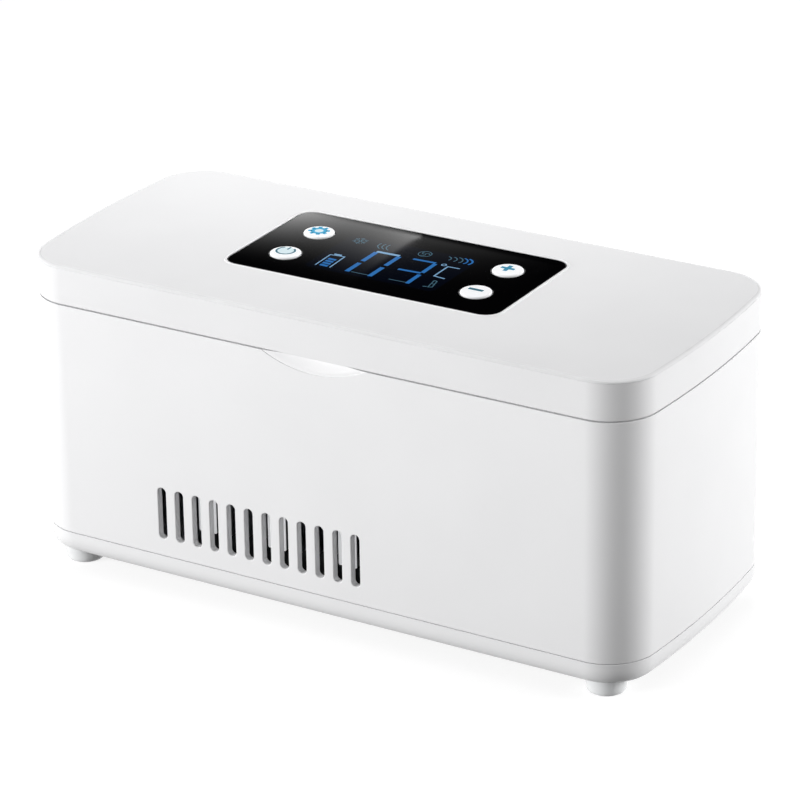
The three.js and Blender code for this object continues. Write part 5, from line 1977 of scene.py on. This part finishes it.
@dataclass(frozen=True)
class Card:
    """A card that only mirrors see, dark, or glowing unevenly from side to side and fading to the front.

    Attributes:
        name: the card's name.
        corners: the panel's points that mirror the card's corners, the front left one first.
        away: how far it stands from the panel, in millimetres.
        glow: its level, its even share, its bend and where across the bend is lowest, or none if it is dark.
    """

    name: str
    corners: tuple[Point2, ...]
    away: float
    glow: tuple[float, float, float, float] | None = None

    def place(self, eye: Vector, height: float, x: float, y: float) -> Vector:
        """Where the camera's ray goes after a point of the panel mirrors it.

        Args:
            eye: where the camera stands.
            height: the panel's height.
            x: the point on the panel.
            y: the point on the panel.

        Returns:
            The place in metres.
        """
        point = Vector((x, y, height))
        below = Vector((eye.x, eye.y, 2 * height - eye.z))
        return (point + (point - below).normalized() * self.away) * MM

    def light(self, tree: Tree) -> bpy.types.Node:
        """The card's glow.

        Args:
            tree: the card's tree.

        Returns:
            The emission's node.
        """
        if not self.glow:
            return add_node(tree, "ShaderNodeEmission", {"Strength": 0.0})
        level, even, bend, centre = self.glow
        place = add_node(tree, "ShaderNodeTexCoord")
        split = add_node(tree, "ShaderNodeSeparateXYZ", links={0: (place, "UV")})
        across = add_node(tree, "ShaderNodeMath", {"operation": "SUBTRACT", 1: centre}, {0: (split, "X")})
        square = add_node(tree, "ShaderNodeMath", {"operation": "POWER", 1: 2.0}, {0: (across, 0)})
        bent = add_node(tree, "ShaderNodeMath", {"operation": "MULTIPLY_ADD", 1: bend, 2: even}, {0: (square, 0)})
        fade = add_node(tree, "ShaderNodeMath", {"operation": "POWER", 1: 3.0}, {0: (split, "Y")})
        scaled = add_node(tree, "ShaderNodeMath", {"operation": "MULTIPLY", 1: level}, {0: (fade, 0)})
        both = add_node(tree, "ShaderNodeMath", {"operation": "MULTIPLY"}, {0: (bent, 0), 1: (scaled, 0)})
        return add_node(tree, "ShaderNodeEmission", links={"Strength": (both, 0)})

    def build(self, eye: Vector, height: float) -> None:
        """Puts up the card where the panel mirrors it to the camera.

        Args:
            eye: where the camera stands, in millimetres.
            height: the panel's height.
        """
        mesh = bpy.data.meshes.new(self.name)
        mesh.from_pydata([self.place(eye, height, x, y) for x, y in self.corners], [], [(0, 1, 2, 3)])
        layer = mesh.uv_layers.new(name="across")
        for loop, uv in zip(layer.data, ((0, 0), (1, 0), (1, 1), (0, 1)), strict=True):
            loop.uv = uv
        card = shown(mesh, self.name)
        card.visible_camera = card.visible_diffuse = card.visible_shadow = False
        card.visible_transmission = card.visible_volume_scatter = False
        material = bpy.data.materials.new(self.name)
        tree = blank_tree(material)
        add_node(tree, "ShaderNodeOutputMaterial", links={"Surface": (self.light(tree), 0)})
        mesh.materials.append(material)


# The two large lamps stand far apart, which leaves the front right corner between them dark, as in the photograph.
SOFTBOXES = (
    Softbox("left_softbox", -40, 13, 1700, 820, 31.5),
    Softbox("right_softbox", 121, 13, 1700, 820, 28.5),
    Softbox("back_softbox", -149, 50, 450, 300, 1.28),
)

# The dark card blacks the panel out, and the two in front of it give it its two reflections.
CARDS = (
    Card("dark_card", ((-300, -260), (300, -260), (300, 300), (-300, 300)), 1500),
    Card("glare_card", ((-52, -20), (-5.4, -20), (-6.9, 28.5), (-52, 28.5)), 700, (1.38, 1.0, 3.7, 0.62)),
    Card("faint_card", ((-5.4, -20), (45, -20), (45, 28.5), (-6.9, 28.5)), 700, (0.3, 0.0, 1.0, 1.0)),
)


@dataclass
class Studio:
    """Camera, floor, surroundings, lamps and cards.

    Attributes:
        panel_z: the height of the panel's face, in millimetres.
        azimuth: where the camera stands, in degrees.
        elevation: where the camera stands, in degrees.
        roll: how far the camera is turned about its axis, in degrees.
        distance: of the camera from its target, in millimetres.
        lens: its focal length, in millimetres.
        target: the point that it is aimed at, in millimetres.
        ambient: the surroundings' strength on the object.
        floor_reach: half of the floor's size, in millimetres.
        dark_within: from the middle to where the floor is darkest for light, in metres.
        pale_beyond: from the middle to where it is palest for light, in metres.
        floor_greys: the darkest and the palest grey of the floor for light, a painted shade that darkens it near the
            case.
        floor_paint: the floor's colour where it is seen.
        floor_glow: what lifts that colour to white.
    """

    panel_z: float
    azimuth: float = 30.95
    elevation: float = 23.55
    roll: float = 0.91
    distance: float = 1138.33
    lens: float = 174.96
    target: Point3 = (-0.01, 2.19, 54.99)
    ambient: float = 0.12
    floor_reach: float = 6000.0
    dark_within: float = 0.12
    pale_beyond: float = 0.5
    floor_greys: Span = (0.08, 0.48)
    floor_paint: str = "#9A9A9A"
    floor_glow: float = 0.82

    @property
    def eye(self) -> Vector:
        """Where the camera stands, in millimetres."""
        return Vector(self.target) + direction(self.azimuth, self.elevation) * self.distance

    def camera(self) -> None:
        """The camera where the photograph was taken from."""
        turn, roll = math.radians(self.azimuth), math.radians(self.roll)
        back = direction(self.azimuth, self.elevation)
        level = Vector((math.cos(turn), math.sin(turn), 0))
        over = back.cross(level)
        right = level * math.cos(roll) - over * math.sin(roll)
        up = level * math.sin(roll) + over * math.cos(roll)
        data = bpy.data.cameras.new("camera")
        data.lens, data.sensor_width = self.lens, 36.0
        data.clip_start, data.clip_end = 0.05, 50.0
        camera = bpy.data.objects.new("camera", data)
        bpy.context.scene.collection.objects.link(camera)
        facing = Matrix((right, up, back)).transposed().to_4x4()
        camera.matrix_world = Matrix.Translation(self.eye * MM) @ facing
        bpy.context.scene.camera = camera

    def seen(self, tree: Tree) -> bpy.types.Node:
        """One for camera, mirror and glass rays, and zero for the light that reaches the object.

        Args:
            tree: the tree that needs it.

        Returns:
            The node that gives it.
        """
        path = add_node(tree, "ShaderNodeLightPath")
        either = add_node(tree, "ShaderNodeMath", {"operation": "MAXIMUM"}, {
            0: (path, "Is Camera Ray"), 1: (path, "Is Glossy Ray"),
        })
        return add_node(tree, "ShaderNodeMath", {"operation": "MAXIMUM"}, {
            0: (either, 0), 1: (path, "Is Transmission Ray"),
        })

    def world(self) -> None:
        """An even, low surrounding light that looks white."""
        world = bpy.data.worlds.new("surroundings")
        tree = blank_tree(world)
        seen = self.seen(tree)
        plain = add_node(tree, "ShaderNodeBackground", {"Color": linear("#FFFFFF"), "Strength": self.ambient})
        white = add_node(tree, "ShaderNodeBackground", {"Color": linear("#FFFFFF"), "Strength": 1.0})
        mix = add_node(tree, "ShaderNodeMixShader", links={0: (seen, 0), 1: (plain, 0), 2: (white, 0)})
        add_node(tree, "ShaderNodeOutputWorld", links={"Surface": (mix, 0)})
        bpy.context.scene.world = world

    def floor(self) -> None:
        """A large pale floor that looks white and keeps the object's shadow.

        For the light that it throws back it carries painted shade, darker near the case, which makes the walls fade
        downwards.
        """
        reach = self.floor_reach * MM
        corners = [(x * reach, y * reach, 0) for x, y in ((-1, -1), (1, -1), (1, 1), (-1, 1))]
        mesh = bpy.data.meshes.new("floor")
        mesh.from_pydata(corners, [], [(0, 1, 2, 3)])
        floor = shown(mesh, "floor")
        material = bpy.data.materials.new("painted_floor")
        tree = blank_tree(material)
        seen = self.seen(tree)
        place = add_node(tree, "ShaderNodeTexCoord")
        away = add_node(tree, "ShaderNodeVectorMath", {"operation": "LENGTH"}, {0: (place, "Object")})
        # Painted shade: the floor is darker near the case for the light that it throws back.
        shade = add_node(tree, "ShaderNodeMapRange", {
            "From Min": self.dark_within, "From Max": self.pale_beyond,
            "To Min": self.floor_greys[0], "To Max": self.floor_greys[1],
        }, {"Value": (away, "Value")})
        under = add_node(tree, "ShaderNodeBsdfDiffuse", links={"Color": (shade, 0)})
        paint = add_node(tree, "ShaderNodeBsdfDiffuse", {"Color": linear(self.floor_paint)})
        white = add_node(tree, "ShaderNodeEmission", {"Strength": self.floor_glow})
        both = add_node(tree, "ShaderNodeAddShader", links={0: (paint, 0), 1: (white, 0)})
        mix = add_node(tree, "ShaderNodeMixShader", links={0: (seen, 0), 1: (under, 0), 2: (both, 0)})
        add_node(tree, "ShaderNodeOutputMaterial", links={"Surface": (mix, 0)})
        mesh.materials.append(material)

    def build(self) -> None:
        """Builds the studio."""
        bpy.context.scene.view_settings.view_transform = "Standard"
        self.camera()
        self.world()
        self.floor()
        for softbox in SOFTBOXES:
            softbox.build()
        for card in CARDS:
            card.build(self.eye, self.panel_z)
        LOG.info("studio: camera, floor, surroundings, three lamps and three cards")


def main() -> None:
    """Builds every sub-assembly in order, then the studio."""
    logging.basicConfig(level=logging.INFO, format="%(message)s")
    dress_carried()
    sizes = CaseSizes()
    panel = Panel(sizes)
    Body(sizes).build()
    Lid(sizes, panel).build()
    panel.build()
    Chamber(sizes).build()
    Stack(sizes).build()
    for screws in SCREW_SETS:
        screws.build()
    Studio(sizes.height).build()


if __name__ == "__main__":
    main()
